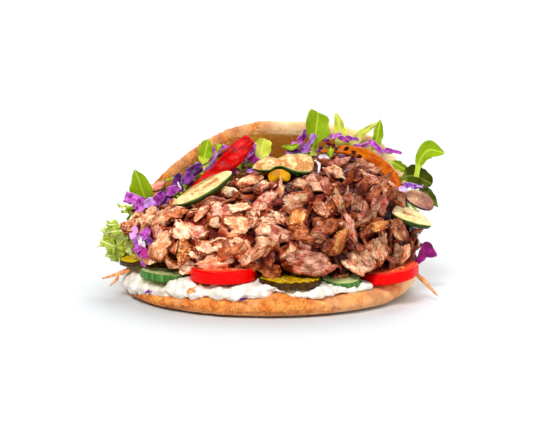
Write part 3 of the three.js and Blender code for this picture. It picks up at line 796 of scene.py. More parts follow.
def bar(points, face, half_width, thickness, outline, squareness, ragged, seed, rows, ring):
    """A thick strip. Its values are mm along, mm across, and the share of the way to its edge."""
    line, side, off = along_line(points, face, rows)
    u = np.linspace(0, 1, rows)
    turn = np.linspace(0, 2 * math.pi, ring, endpoint=False)
    across = rounded(np.cos(turn), squareness)
    up = rounded(np.sin(turn), squareness)
    width = half_width * np.maximum(0.06, outline(u))
    thick = thickness / 2 * np.sqrt(np.clip(4 * np.minimum(u, 1 - u) + 0.05, 0, 1)) ** 0.5
    spread = across[None] * width[:, None]
    length = length_of(line)
    flat = np.stack([u[:, None] * length + 0 * spread, spread, 0 * spread], -1)
    spread = spread * (1 + ragged * noise(flat, half_width * 1.3, seed))
    height = up[None] * thick[:, None]
    placed = line[:, None] + side[:, None] * spread[..., None] + off[:, None] * height[..., None]
    values = np.stack([flat[..., 0], spread, np.repeat(np.abs(across)[None], rows, axis=0)], -1)
    values = np.vstack([values.reshape(-1, 3), [[0, 0, 0.5], [length, 0, 0.5]]])
    return np.vstack([placed.reshape(-1, 3), line[0], line[-1]]), tube_faces(rows, ring), values


def sheet(points, face, half_width, outline, thickness, cup, ruffle, waves, seed, rows, columns,
          twist=0.0, skew=0.0):
    """A thin leaf. Its values are mm along, mm across, and the share of the way to its edge.

    skew draws one side of its far end ahead of the other.
    """
    line, side, off = along_line(points, face, rows, twist)
    u = np.linspace(0, 1, rows)[:, None]
    v = np.linspace(-1, 1, columns)[None]
    jitter = 1 + 0.07 * np.sin(u * 19 + seed * 1.7 + 2 * np.sign(v)) * np.abs(v)
    width = half_width * np.maximum(0.05, outline(u))
    across = v * width * jitter
    phase = seed * 2.1 + np.where(v < 0, 1.9, 0.0)
    lift = cup * np.abs(across / half_width) ** 1.3
    lift = lift + ruffle * np.abs(v) ** 1.5 * np.sin(2 * math.pi * waves * u + phase)
    ahead = np.cross(side, off)
    body = line[:, None] + side[:, None] * across[..., None]
    body += ahead[:, None] * (skew * across * u**2)[..., None]
    half = (thickness / 2) * (1 - 0.6 * np.abs(v) ** 3)
    faces_at = [body + off[:, None] * (lift + level)[..., None] for level in (half, -half)]
    values = np.stack([u * length_of(line) + 0 * across, across, np.abs(v) + 0 * across], -1).reshape(-1, 3)
    return np.stack(faces_at).reshape(-1, 3), sheet_faces(rows, columns), np.vstack([values, values])


def leaf_stalk(values, length):
    """How much of a leaf is its pale stalk, from 1 at the stalk to 0 on the blade."""
    return rise(length - values[:, 0], 0, length * 0.35)


# Material slot, outline, thickness and how ragged the edge is; then the looks: the colours of deep
# and bright flesh and of char, how strong the char is, and the gloss.
PEPPERS = {
    "red_pepper_strip": ("red_pepper", pepper_outline, 3.2, 0.08,
                         (150, 0, 0), (228, 1, 0), (60, 4, 4), 0.5, 0.06),
    "orange_pepper_strip": ("orange_pepper", arc_outline, 3.0, 0.08,
                            (170, 64, 0), (208, 110, 0), (40, 14, 6), 1.0, 0.06),
    "yellow_pepper_piece": ("yellow_pepper", strip_outline, 2.4, 0.1,
                            (184, 116, 0), (222, 160, 2), (92, 50, 6), 0.7, 0.12),
}

# Char on the orange pepper: share of its length, mm across and size.
CHAR_SPOTS = [(0.16, 0.5, 1.3), (0.27, 0.8, 1.2), (0.34, -1.5, 1.2), (0.42, -2.5, 0.9)]


def make_peppers():
    for name, (slot, outline, thickness, ragged, *looks) in PEPPERS.items():
        line, face, half_width = RIBBONS[name]
        points, faces, values = bar(line, face, half_width, thickness, outline, squareness=4.0,
                                    ragged=ragged, seed=3, rows=72, ring=44)
        wrinkles = noise(values * [0.35, 1, 0], 2.2, 21) + 0.6 * noise(points, 5, 26)
        points += 0.7 * wrinkles[:, None] * np.array(face)
        share = values[:, 0] / values[:, 0].max()
        char = 0.25 * rise(values[:, 2], 0.7, 1)
        if slot == "orange_pepper":
            for place, across, size in CHAR_SPOTS:
                spot = np.hypot((share - place) / 0.035, (values[:, 1] - across) / 2) / size
                char = np.maximum(char, 1.1 * np.exp(-(spot**2)))
        piece = Solid().add(points, faces, leaf=values, char=char)
        roast = name.replace("strip", "roast").replace("piece", "roast")
        piece.build(roast, pepper_material(slot, *looks), slot, name)


# Marks of the grill across each zucchini slice: share of its length and width.
GRILL_MARKS = {
    "zucchini_slice_left": [(0.12, 0.05), (0.42, 0.05), (0.72, 0.05)],
    "zucchini_slice_middle": [(0.1, 0.05), (0.45, 0.07), (0.76, 0.07)],
    "zucchini_slice_right": [],
}


def make_grilled():
    material = zucchini_material()
    for name, marks in GRILL_MARKS.items():
        line, face, half_width = RIBBONS[name]
        middle_slice = name == "zucchini_slice_middle"
        outline = two_lobed_outline if middle_slice else oval_outline
        points, faces, values = bar(line, face, half_width, 3.3, outline, squareness=4.5,
                                    ragged=0.04, seed=5, rows=90, ring=60)
        share = values[:, 0] / values[:, 0].max()
        across = values[:, 1]
        slant = share + 0.008 * across + 0.035 * noise(points, 5, 27)
        char = sum((np.exp(-(((slant - place) / width) ** 2)) for place, width in marks), 0 * share)
        relief = 0.25 * noise(points, 4, 22)
        if name == "zucchini_slice_left":
            char = 0.95 * rise(across, 3.6, 5.2) * rise(7.4 - across, 0, 1) + 0.3 * char
        if middle_slice:
            relief -= 1.5 * np.exp(-(((share - 0.46) / 0.07) ** 2))
            spots = noise(points, 5, 29) + 0.5 * noise(points, 2, 30)
            char *= 0.5 + 0.6 * rise(noise(points, 2.5, 24), -0.4, 0.2)
            char = np.maximum(char, 0.44 + 0.5 * rise(spots, 0.05, 0.6))
        else:
            along = rise(share, 0.2, 0.32) * rise(0.86 - share, 0, 0.12)
            slit = 1.2 * np.exp(-(((across - 0.5 - noise(points, 6, 25)) / 1.3) ** 2)) * along
            char = np.maximum(char, slit * rise(noise(points, 2.2, 28), -0.9, -0.1))
        points += relief[:, None] * np.array(face)
        piece = Solid().add(points, faces, leaf=values, char=char)
        piece.build(name.replace("slice", "grilled"), material, "zucchini", name)
    points, faces, values = bar(*RIBBONS["aubergine_slice"], 2.6, oval_outline, squareness=4,
                                ragged=0.08, seed=6, rows=60, ring=44)
    piece = Solid().add(points, faces, leaf=values)
    piece.build("aubergine_grilled", aubergine_material(), "aubergine", "aubergine_slice")


# Outline, thickness, cup, ruffle, waves, twist and skew of each leaf.
LEAVES = {
    "rocket_leaf_left": (pointed_outline, 0.55, 2.2, 0.8, 2, 0.5, 0),
    "rocket_leaf_upper_left": (round_outline, 0.5, 1.6, 0.5, 2, -0.5, 0),
    "rocket_leaf_top": (kite_outline, 0.55, 2.6, 0.9, 2, 0.6, 0.32),
    "rocket_leaf_right_curl": (curl_outline, 0.5, 2.2, 0.8, 2, -0.7, 0),
    "rocket_leaf_right_fold": (blade_outline, 0.55, 3.4, 1.0, 2, 0.6, 0),
    "rocket_leaf_right_tuck": (blade_outline, 0.5, 1.2, 0.5, 2, 0.3, 0),
    "rocket_leaf_right_low": (pointed_outline, 0.5, 1.4, 0.7, 2, 0.5, 0),
    "rocket_leaf_shoulder": (pointed_outline, 0.5, 1.5, 0.7, 2, -0.5, 0),
    "lettuce_strip_upright": (taper_outline, 0.8, 1.2, 0.9, 3, 0.4, 0),
    "lettuce_strip_leaning": (taper_outline, 0.8, 1.0, 0.8, 3, -0.3, 0),
    "lettuce_rib_middle": (strip_outline, 1.4, 1.8, 0.8, 2, 0.3, 0),
}
# Leaves that get the darker rocket look: painted shade.
SHADED_LEAVES = ("rocket_leaf_right_fold", "rocket_leaf_right_low")


def make_leaves(looks):
    for seed, (name, (outline, *bends, twist, skew)) in enumerate(LEAVES.items()):
        points, faces, values = sheet(*RIBBONS[name], outline, *bends, seed, 72, 25, twist, skew)
        kind = name.split("_")[0]
        share, strength = (0.3, 0.8) if kind == "rocket" else (0.6, 0.5)
        stalk = strength * leaf_stalk(values, values[:, 0].max() * share)
        look = looks["shade" if name in SHADED_LEAVES else kind]
        piece = Solid().add(points, faces, leaf=values, stalk=stalk)
        piece.build(name.replace("leaf", "blade").replace("strip", "frill"), look, kind, name)


def curl_line(start, ahead, length, bend, random):
    """Five points on a line from start that wanders as it goes."""
    points = [np.array(start, float)]
    way = unit(np.array(ahead, float))
    for _ in range(4):
        way = unit(way + random.normal(0, bend, 3))
        points.append(points[-1] + way * length / 4)
    return points


def add_shred(solid, line, face, half_width, outline, random, tint, twist=1.0):
    """Adds one curled shred of cabbage, with a tint of its own."""
    points, faces, values = sheet(line, face, half_width, outline, thickness=1.0,
                                  cup=0.35 * half_width, ruffle=0.25 * half_width, waves=1.5,
                                  seed=int(random.integers(100)), rows=34, columns=9,
                                  twist=random.uniform(-twist, twist))
    solid.add(points, faces, leaf=values, tint=tint)


# The clumps that don't have the usual look.
CLUMP_LOOKS = {"cabbage_leaf_low_right": "magenta", "cabbage_shred_upper_left": "violet",
               "cabbage_shred_right": "lilac"}

# Which of five places on the line each shred of a clump crosses, and how far off it, in mm.
CLUMP_SHREDS = [(1, 0.0), (3, 0.2), (0, 0.9), (4, 1.1), (2, 1.8)]


def make_cabbage(looks):
    """Each clump is a few shreds that cross one another along the line of its node."""
    random = np.random.default_rng(4)
    for name in [name for name in RIBBONS if name.startswith("cabbage")]:
        line, face, half_width = RIBBONS[name]
        piece = Solid()
        if name == "cabbage_leaf_low_right":
            add_shred(piece, line, face, half_width, wedge_outline, random, -0.12, 0.5)
        else:
            middles, side, off = along_line(line, face, 5)
            ahead = np.cross(side, off)
            length = length_of(middles)
            for k, level in CLUMP_SHREDS:
                turn = random.uniform(-0.6, 0.6)
                way = ahead[k] * math.cos(turn) + side[k] * math.sin(turn)
                way = unit(way + off[k] * random.uniform(-0.15, 0.25))
                reach = random.uniform(0.4, 0.55) * length
                start = middles[k] - way * reach / 2 + off[k] * level
                shred = curl_line(start, way, reach, 0.16, random)
                width = random.uniform(0.5, 0.75) * half_width
                tint = random.uniform(-0.2, 0.2)
                shred_face = off[k] + random.normal(0, 0.35, 3)
                add_shred(piece, shred, shred_face, width, shred_outline, random, tint)
        look = looks[CLUMP_LOOKS.get(name, "cabbage")]
        piece.build(name.replace("shred", "curl"), look, "red_cabbage", name)


def make_carrots(material):
    for name in ("carrot_shred_left", "carrot_shred_right"):
        line, face, half_width = RIBBONS[name]
        points, faces, values = bar(line, face, half_width, 2.0, taper_outline, squareness=2.4,
                                    ragged=0.25, seed=8, rows=40, ring=18)
        piece = Solid().add(points, faces, leaf=values)
        if name == "carrot_shred_left":
            fork = np.array(line[1]) + [[0, 0, 0], [-1, -3, -3.5], [-5, -6, -6.5]]
            points, faces, values = bar(fork, face, 1.2, 1.6, taper_outline, squareness=2.4,
                                        ragged=0.25, seed=9, rows=24, ring=14)
            piece.add(points, faces, leaf=values)
        piece.build(name.replace("shred", "sliver"), material, "carrot", name)


# ---------------------------------------------------------------- where things show

SITE_STEP = 2.5  # mm between the rays that look for places on a heap


def solid_tree(names):
    """The named CAD solids as one tree for rays, with the name of each triangle's node."""
    corners, triangles, owners = [], [], []
    for name in names:
        mesh = nodes[name].data
        mesh.calc_loop_triangles()
        count = len(corners)
        corners += [vertex.co.copy() for vertex in mesh.vertices]
        triangles += [[count + i for i in triangle.vertices] for triangle in mesh.loop_triangles]
        owners += [name] * len(mesh.loop_triangles)
    return BVHTree.FromPolygons(corners, triangles), owners


def seen_sites(tree, owners, node, views):
    """Points and normals of a node's surface that show from any of the views."""
    centre = Vector((0, 0, 45)) * MM
    points, normals = [], []
    for azimuth, elevation in views:
        a, e = math.radians(azimuth), math.radians(elevation)
        back = Vector((math.sin(a) * math.cos(e), -math.cos(a) * math.cos(e), math.sin(e)))
        right = Vector((math.cos(a), math.sin(a), 0))
        up = back.cross(right)
        for i in np.arange(-125, 125, SITE_STEP):
            for j in np.arange(-95, 95, SITE_STEP):
                start = centre + (right * i + up * j + back * 400) * MM
                place, normal, index, _ = tree.ray_cast(start, -back)
                if index is not None and owners[index] == node:
                    points.append(place / MM)
                    normals.append(normal)
    return np.array(points), np.array(normals)


def scattered(points, normals, spacing, random):
    """Sites about spacing mm apart, with normals evened out over their neighbours."""
    kept = []
    for index in random.permutation(len(points)):
        if not kept or np.linalg.norm(points[kept] - points[index], axis=1).min() > spacing:
            kept.append(index)
    even = [normals[np.linalg.norm(points - points[i], axis=1) < 9].sum(axis=0) for i in kept]
    return points[kept], unit(np.array(even))


def distances(tree, points):
    """How far each point is from the nearest solid of the tree."""
    return np.array([tree.find_nearest(Vector(point * MM))[3] for point in points]) / MM


def covers(tree, points, depth=25, farthest=200):
    """What share of some points would hide, from the front, a solid of the tree close behind them.

    Solids that are more than depth mm behind a point, or beyond farthest mm in y, don't count.
    """
    hidden = 0
    for point in points:
        place, normal, _, _ = tree.ray_cast(Vector(point * MM), -CAMERA_SIDE, depth * MM)
        if place is not None:
            hidden += normal.dot(CAMERA_SIDE) > 0.2 and place.y < farthest * MM
    return hidden / len(points)


def cast(tree, u, v):
    """What the ray through a pixel of the picture hits, and how many mm a pixel is there."""
    sideways = Vector((u - PICTURE_MIDDLE[0], 0, 0)) - PICTURE_UP * (v - PICTURE_MIDDLE[1])
    ray = sideways / FOCAL_PIXELS - CAMERA_SIDE
    start = Vector(CAMERA_TARGET) * MM + CAMERA_SIDE * CAMERA_DISTANCE * MM
    place, normal, index, _ = tree.ray_cast(start, ray.normalized())
    scale = (place - start).length / MM / FOCAL_PIXELS if place else 0
    return place, normal, index, scale


def heading(degrees, facing):
    """The direction across facing that runs at an angle in the picture."""
    turn = math.radians(degrees)
    along = np.array(Vector((math.cos(turn), 0, 0)) + PICTURE_UP * math.sin(turn))
    return unit(along - facing * along.dot(facing))


def in_spots(points, spots):
    """True for the points that show in one of some ovals of the picture."""
    offset = points - np.array(CAMERA_TARGET)
    away = CAMERA_DISTANCE - offset @ TO_CAMERA
    u = PICTURE_MIDDLE[0] + FOCAL_PIXELS * offset[:, 0] / away
    v = PICTURE_MIDDLE[1] - FOCAL_PIXELS * (offset @ np.array(PICTURE_UP)) / away
    inside = np.zeros(len(points), bool)
    for spot_u, spot_v, half_u, half_v in spots:
        inside |= ((u - spot_u) / half_u) ** 2 + ((v - spot_v) / half_v) ** 2 < 1
    return inside


# ---------------------------------------------------------------- meat

MEAT_VIEWS = [(0, 10), (0, 50), (-50, 20), (50, 20), (-90, 12), (90, 12)]

# The fat, lean and roasted colour of each kind of shaving, and then each kind's share of the meat.
MEAT_COLOURS = {
    "pale": ((252, 210, 172), (232, 150, 108), (170, 76, 34)),
    "pink": ((248, 190, 160), (218, 116, 92), (150, 52, 28)),
    "tan": ((248, 194, 148), (220, 132, 86), (146, 58, 22)),
    "amber": ((250, 192, 118), (228, 132, 60), (156, 62, 12)),
    "brown": ((206, 120, 70), (150, 64, 26), (72, 18, 2)),
    "cream": ((250, 226, 186), (240, 196, 146), (206, 140, 84)),
    # The bed is darker than the other kinds: painted shade for the layer that lies under them.
    "bed": ((190, 104, 60), (138, 56, 26), (72, 18, 4)),
}
MEAT_SHARES = {"pale": 0.26, "pink": 0.22, "tan": 0.28, "amber": 0.06, "brown": 0.16, "cream": 0.02}

# Each layer of shavings: how far apart they are, half length, half width, how far they stand off
# the heap, how much they lean, all in mm or radians, and points along each side of their grid.
# The first layer is the bed that the others lie on, with darker colours as painted shade.
MEAT_LAYERS = [
    (7.0, 9.5, 5.2, -3.4, 0.45, 10),
    (8.5, 12.0, 6.6, -0.5, 0.55, 15),
    (13.0, 12.0, 5.4, 1.4, 0.6, 17),
    (8.5, 5.0, 1.1, 1.0, 0.7, 9),
]

# Pits between the shavings, dark with painted shade: where they show in the picture, and their half size, in
# pixels.
PITS = [
    (262, 264, 16, 9), (245, 198, 9, 5), (336, 196, 11, 6), (205, 232, 6, 5), (288, 192, 5, 8),
    (321, 240, 16, 12), (345, 222, 5, 12), (385, 262, 6, 8), (352, 194, 7, 5), (226, 240, 8, 4),
    (214, 234, 6, 4), (240, 263, 6, 7), (372, 232, 5, 9),
]

# Where no shaving of the layers reaches, so that slices and the outline show: as for the pits.
KEPT_OFF = [(179, 266, 4, 6), (425, 236, 4, 5), (413, 212, 6, 7)]

# Shavings placed one by one: where the middle shows in the picture, and half length and half width
# there, all in pixels; the angle that it runs at in degrees; and its kind.
CHOSEN_SHAVINGS = [
    (138, 226, 17, 8, 35, "tan"), (166, 204, 8, 7, 0, "brown"), (163, 221, 15, 7, 55, "tan"),
    (178, 213, 8, 5, 0, "pale"), (161, 234, 13, 7, 75, "pink"), (182, 233, 14, 10, 120, "pale"),
    (185, 252, 12, 8, 80, "amber"), (162, 249, 15, 10, 50, "tan"), (201, 233, 9, 7, 20, "pink"),
    (172, 261, 10, 4, -8, "tan"), (187, 264, 9, 4, 5, "pale"), (149, 258, 9, 4, -10, "tan"),
    (216, 245, 18, 8, 0, "pale"), (213, 262, 20, 9, -2, "pale"), (221, 212, 14, 8, 10, "pink"),
    (202, 214, 12, 4, 45, "pale"), (238, 226, 17, 10, -25, "tan"), (215, 223, 7, 5, -10, "pale"),
    (242, 209, 14, 7, 10, "pale"), (230, 194, 8, 9, 90, "cream"), (264, 202, 15, 9, 60, "pink"),
    (254, 219, 9, 7, 80, "pale"), (276, 233, 15, 7, -20, "pink"), (248, 256, 13, 5, 45, "pale"),
    (262, 253, 15, 4, 35, "tan"), (266, 241, 10, 6, 10, "tan"), (188, 268, 9, 5, 0, "pale"),
    (310, 187, 22, 8, -5, "pale"), (296, 201, 17, 9, 15, "pale"), (281, 192, 12, 3, 85, "tan"),
    (326, 188, 10, 6, 110, "pink"), (338, 201, 15, 5, 115, "tan"), (322, 208, 9, 7, -30, "pale"),
    (297, 220, 13, 9, 70, "amber"), (326, 225, 14, 10, 20, "brown"), (316, 237, 8, 6, 0, "tan"),
    (339, 241, 14, 6, 65, "amber"), (350, 233, 19, 4, 108, "pink"), (360, 213, 14, 8, 100, "pink"),
    (379, 206, 10, 9, -40, "pink"), (398, 199, 9, 6, -35, "tan"), (367, 189, 9, 6, -10, "pink"),
    (382, 190, 8, 5, 30, "pink"), (373, 227, 15, 5, 10, "amber"), (379, 247, 15, 11, 90, "pale"),
    (357, 261, 15, 12, -50, "pale"), (310, 262, 32, 11, -5, "pink"), (398, 230, 13, 7.5, -50, "tan"),
    (401, 252, 10, 7, 60, "tan"), (394, 256, 12, 5, 75, "pale"), (341, 275, 9, 4, -5, "tan"),
    (301, 237, 10, 6, 0, "brown"), (333, 164, 14, 5, 0, "brown"), (364, 168, 15, 8, -10, "pale"),
    (250, 266, 13, 8, 10, "brown"), (271, 269, 12, 7, -10, "brown"), (226, 272, 9, 4, 0, "tan"),
    (293, 246, 9, 6, 30, "brown"), (330, 247, 9, 8, 60, "brown"), (344, 205, 5, 4, 0, "brown"),
    (352, 177, 9, 8, 0, "brown"), (374, 183, 10, 7, -15, "pink"), (333, 173, 9, 6, 0, "tan"),
    (158, 187, 8, 5, 15, "pink"), (198, 168, 11, 4, 20, "pink"), (249, 182, 14, 8, 10, "tan"),
    (390, 188, 9, 5, -45, "pink"), (388, 177, 8, 6, -40, "brown"),
]


def turned(normals, random, lean):
    """Three axes for each site: its normal leant by a random angle, and two across it."""
    count = len(normals)
    axis = unit(random.normal(0, 1, (count, 3)))
    off = unit(normals + axis * np.tan(np.clip(np.abs(random.normal(0, lean, (count, 1))), 0, 1.2)))
    first = unit(np.cross(off, random.normal(0, 1, (count, 3))))
    return first, np.cross(off, first), off


def torn_outlines(turn, long, random):
    """How far out each shaving reaches at each angle: a few rounded corners, frayed at its ends.

    Longer ones are torn more.
    """
    corners = 7
    place = (turn / (2 * math.pi) + 0.5) * corners
    first = np.floor(place).astype(int)
    blend = rise(place - first, 0, 1)
    start = random.uniform(0, 100, len(long))
    radii = random.uniform(0.62, 1.14, (len(long), corners))
    reaches = radii[:, first % corners] * (1 - blend) + radii[:, (first + 1) % corners] * blend
    rim = np.stack([np.cos(turn), np.sin(turn), 0 * turn], -1)[None]
    ring = rim + start[:, None, None, None]
    frayed = 0.05 + 0.13 * np.cos(turn) ** 4
    outline = reaches * (1 + 0.12 * noise(ring, 0.5, 31) + frayed * noise(ring, 0.15, 35))
    tears = 0.3 * noise(rim + long[..., None], 0.45, 39) - 0.06
    return outline * (1 + rise(long, 4, 20) * tears)


def shade(sites, tones):
    """Tones that differ from patch to patch and get darker to the right: partly because the meat is browner
    there, partly as painted shade on the side away from the key light.
    """
    patches = 1 + 0.16 * noise(sites, 26, 42)[:, None]
    return tones * patches * (1.21 - 0.44 * rise(sites[:, :1], -50, 50))


def shavings(sites, axes, long, wide, thick, random, grid):
    """Thin cut pieces of meat with torn outlines, bends and creases, one at each site.

    long and wide are the half length and half width of each, and axes point along it, across it
    and off its broad side. Returns points, faces and values.
    """
    count = len(sites)
    long, wide, thick = (size[:, None, None] for size in (long, wide, thick))

    def each(low, high):
        return random.uniform(low, high, (count, 1, 1))

    a, b = np.meshgrid(np.linspace(-1, 1, grid), np.linspace(-1, 1, grid), indexing="ij")
    reach = np.maximum(np.abs(a), np.abs(b))
    turn = np.arctan2(b, a)
    outline = torn_outlines(turn, long, random)
    flat_x = reach * outline * np.cos(turn) * long
    flat_y = reach * outline * np.sin(turn) * wide
    start = each(0, 100)
    spot = np.stack([flat_x + 40 * start, flat_y, 0 * flat_x], -1)

    rolled = each(0, 1) < 0.22
    curve_x = np.where(rolled, each(0.6, 1.3), each(0.1, 0.5)) * np.sign(each(-1, 0.8)) / long
    curve_y = np.where(rolled, each(0.1, 0.4), each(0.1, 0.8)) * np.sign(each(-1, 0.8)) / wide
    x = np.sin(curve_x * flat_x) / curve_x
    y = np.sin(curve_y * flat_y) / curve_y
    height = (1 - np.cos(curve_x * flat_x)) / curve_x + (1 - np.cos(curve_y * flat_y)) / curve_y
    size = np.minimum(long, wide)
    angle = each(0, math.pi)
    crease = np.abs(flat_x * np.cos(angle) + flat_y * np.sin(angle) - each(-0.5, 0.5) * size)
    height += each(-0.7, 0.5) * (np.sqrt(crease**2 + 1.5) - 1.2)
    height += each(-0.35, 0.35) * flat_x * flat_y / size
    fibres = flat_y * 2 * math.pi / each(1.6, 3.0) + 2.5 * noise(spot, 4, 34)
    relief = 0.7 * noise(spot, 4.5, 32) + 0.4 * noise(spot, 2.0, 33) + each(0.0, 0.16) * np.sin(fibres)
    height += relief
    height += each(-0.8, 1.6) * rise(reach, 0.62, 1.0) * noise(spot, 5, 36)
    height += rise(long, 4, 20) * (2.2 * noise(spot, 7, 38) + 2.0 * noise(spot, 3.6, 40))
    height -= height.mean(axis=(1, 2), keepdims=True)
    half = thick / 2 * (0.6 + 0.4 * np.sqrt(1 - reach**6)) * (1 + 0.35 * noise(spot, 3, 37))

    along, across, off = (axis[:, None, None] for axis in axes)
    base = sites[:, None, None] + along * x[..., None] + across * y[..., None]
    top, bottom = (base + off * (height + level)[..., None] for level in (half, -half))
    points = np.concatenate([top.reshape(count, -1, 3), bottom.reshape(count, -1, 3)], axis=1)

    def both_sides(value):
        flat = np.broadcast_to(value, flat_x.shape).reshape(count, -1)
        return np.concatenate([flat, flat], axis=1)

    browned = rise(np.cos(turn - each(0, 2 * math.pi)), -0.3, 0.5) * rise(reach, 0.6, 0.92) * each(0, 1.4)
    overall = np.where(each(0, 1) < 0.12, each(0.3, 0.6), 0.0)
    # Painted shade and light: darker in the hollows of the relief, lighter on its rises, and darker on the
    # underside.
    grooved = 1 + 0.45 * np.clip(relief, -0.9, 0.5).reshape(count, -1)
    tones = (each(0.74, 1.16) * (1 - 0.18 * rise(long, 16, 24)))[:, :, 0]
    fibre = np.stack([flat_x + 37 * start, flat_y + 11 * start, start + 0 * flat_x], -1)
    fibre = fibre.reshape(count, -1, 3)
    values = {
        "crisp": both_sides(np.clip(browned + overall, 0, 1)),
        "edge": both_sides(rise(reach, 0.8, 1)),
        "tone": shade(sites, tones) * np.concatenate([grooved, grooved * 0.6], axis=1),
        "fibre": np.concatenate([fibre, fibre + [0, 5, 3]], axis=1),
    }
    return points, sheet_faces(grid, grid), values


def add_shavings(heaps, sites, off, kinds, shapes):
    """Adds each shaving to the heap of its kind; kinds is empty for those that are left out.

    The shader's deep, which sets painted shade, is 0 where a shaving stands off the heap, and up to 1
    well inside it. To the left it is halved, so the painted shade in the gaps there is lighter.
    """
    points, faces, values = shapes
    depth = ((sites[:, None] - points) * off[:, None]).sum(axis=2)
    # Painted shade by depth inside the heap, halved to the left.
    values["deep"] = rise(depth, -1.6, 2.6) * (0.5 + 0.5 * rise(sites[:, :1], -55, -5))
    for k, kind in enumerate(kinds):
        if kind:
            heaps[kind].add(points[k], faces, **{name: value[k] for name, value in values.items()})


def chosen_sites(tree, owners, random):
    """Places on the heap, axes, sizes and kinds of the listed shavings."""
    ground, along, off, sizes, kinds = [], [], [], [], []
    for u, v, half_long, half_wide, angle, kind in CHOSEN_SHAVINGS:
        place, normal, index, scale = cast(tree, u, v)
        if index is None or owners[index] not in ("meat_heap", "salad_heap"):
            continue
        facing = unit(np.array(normal) * 0.6 + TO_CAMERA * 0.7 + random.normal(0, 0.2, 3))
        ground.append(np.array(place) / MM)
        along.append(heading(angle, facing))
        off.append(facing)
        sizes.append((half_long * scale * 1.2, half_wide * scale * 1.25))
        kinds.append(kind)
    along, off = np.array(along), np.array(off)
    return np.array(ground), (along, np.cross(off, along), off), np.array(sizes), np.array(kinds)


def crowded(sites, wide, taken_ground, taken_along, taken_sizes):
    """True for the sites of shavings that would lie on the listed ones."""
    offset = sites[:, None] - taken_ground[None]
    reach = 0.9 * taken_sizes[:, 0]
    ahead = np.clip((offset * taken_along[None]).sum(axis=2), -reach, reach)
    gap = np.linalg.norm(offset - ahead[..., None] * taken_along[None], axis=2)
    return (gap < 0.8 * taken_sizes[:, 1] + 0.35 * wide[:, None]).any(axis=1)


def make_meat(tree, owners):
    """A smaller core, the listed shavings, and layers of scattered ones around them."""
    points, normals, faces = remeshed("meat_heap", voxel=3.2, smoothing=5)
    # The core is a dark sheet of painted shade, seen down the gaps between the shavings.
    core = Solid().add(points - normals * (6.5 + 1.5 * noise(points, 7, 41))[:, None], faces)
    core.build("meat_shade_core", core_material("meat_shade_core", (30, 4, 0), (90, 26, 4)), "roast_meat", "meat_heap")

    random = np.random.default_rng(12)
    heaps = {kind: Solid() for kind in MEAT_COLOURS}
    ground, axes, sizes, kinds = chosen_sites(tree, owners, random)
    thick = random.uniform(1.4, 2.6, len(ground))
    level = random.uniform(0.8, 2.4, (len(ground), 1)) - 1.6 * (kinds == "brown")[:, None]
    shapes = shavings(ground + axes[2] * level, axes, *sizes.T, thick, random, grid=21)
    add_shavings(heaps, ground, axes[2], kinds, shapes)

    taken = ground, axes[0], sizes
    points, normals = seen_sites(tree, owners, "meat_heap", MEAT_VIEWS)
    under = ("meat_heap", "salad_heap", "bread", "white_sauce")
    toppings, _ = solid_tree([name for name in nodes if name not in under])
    for number, (spacing, half_long, half_wide, level, lean, grid) in enumerate(MEAT_LAYERS):
        random = np.random.default_rng(80 + number)
        bed = number == 0
        ground, facing = scattered(points, normals, spacing, random)
        count = len(ground)
        long = np.exp(random.normal(0, 0.28, count)) * half_long
        wide = np.exp(random.normal(0, 0.22, count)) * half_wide
        thick = random.uniform(0.25, 0.45, count) * half_wide
        near = np.clip(wide - distances(toppings, ground), 0, 4.5) + 3 * rise(np.abs(ground[:, 0]), 78, 92)
        hidden = in_spots(ground, PITS) & (facing @ TO_CAMERA > 0.1)
        hidden |= crowded(ground, wide, *taken)
        sunk = 0 if bed else 2.2 * hidden
        sites = ground + facing * (level - near - sunk + random.uniform(-1.2, 1.2, count))[:, None]
        shapes = shavings(sites, turned(facing, random, lean), long, wide, thick, random, grid)
        kinds = random.choice(list(MEAT_SHARES), count, p=list(MEAT_SHARES.values()))
        if bed:
            kinds[:] = "bed"
        for k, shape in enumerate(shapes[0]):
            crossing = covers(toppings, shape[: grid * grid : 7]) >= 0.04
            if crossing or (hidden[k] and level > 0) or in_spots(shape, KEPT_OFF).any():
                kinds[k] = ""
        add_shavings(heaps, ground, facing, kinds, shapes)
    for kind, heap in heaps.items():
        heap.build("meat_shavings_" + kind, meat_material(kind, *MEAT_COLOURS[kind]), "roast_meat")


# ---------------------------------------------------------------- salad

SALAD_VIEWS = [(0, 10), (0, 45), (-60, 15), (60, 15), (-90, 10), (90, 10), (-130, 15), (130, 15)]

# Where the inside of the hood shows between the leaves: middle and half size in pixels.
CLEARINGS = [(278, 149, 11, 12), (291, 138, 13, 5), (155, 178, 8, 8)]

# The kinds of leaf in the heap: name, how many of them, least and most half width, outline,
# thickness, cup, ruffle, waves, rows and columns.
SALAD_LEAVES = [
    ("rocket", 0.35, (3.2, 5.2), (blade_outline, 0.45, 1.0, 1.2, 2.5), (26, 9)),
    ("lettuce", 0.3, (2.6, 4.2), (frisee_outline, 0.6, 1.0, 1.4, 3.5), (34, 9)),
    ("cabbage", 0.35, (1.6, 3.2), (frilled_outline, 1.0, 0.5, 1.2, 2.2), (24, 7)),
]


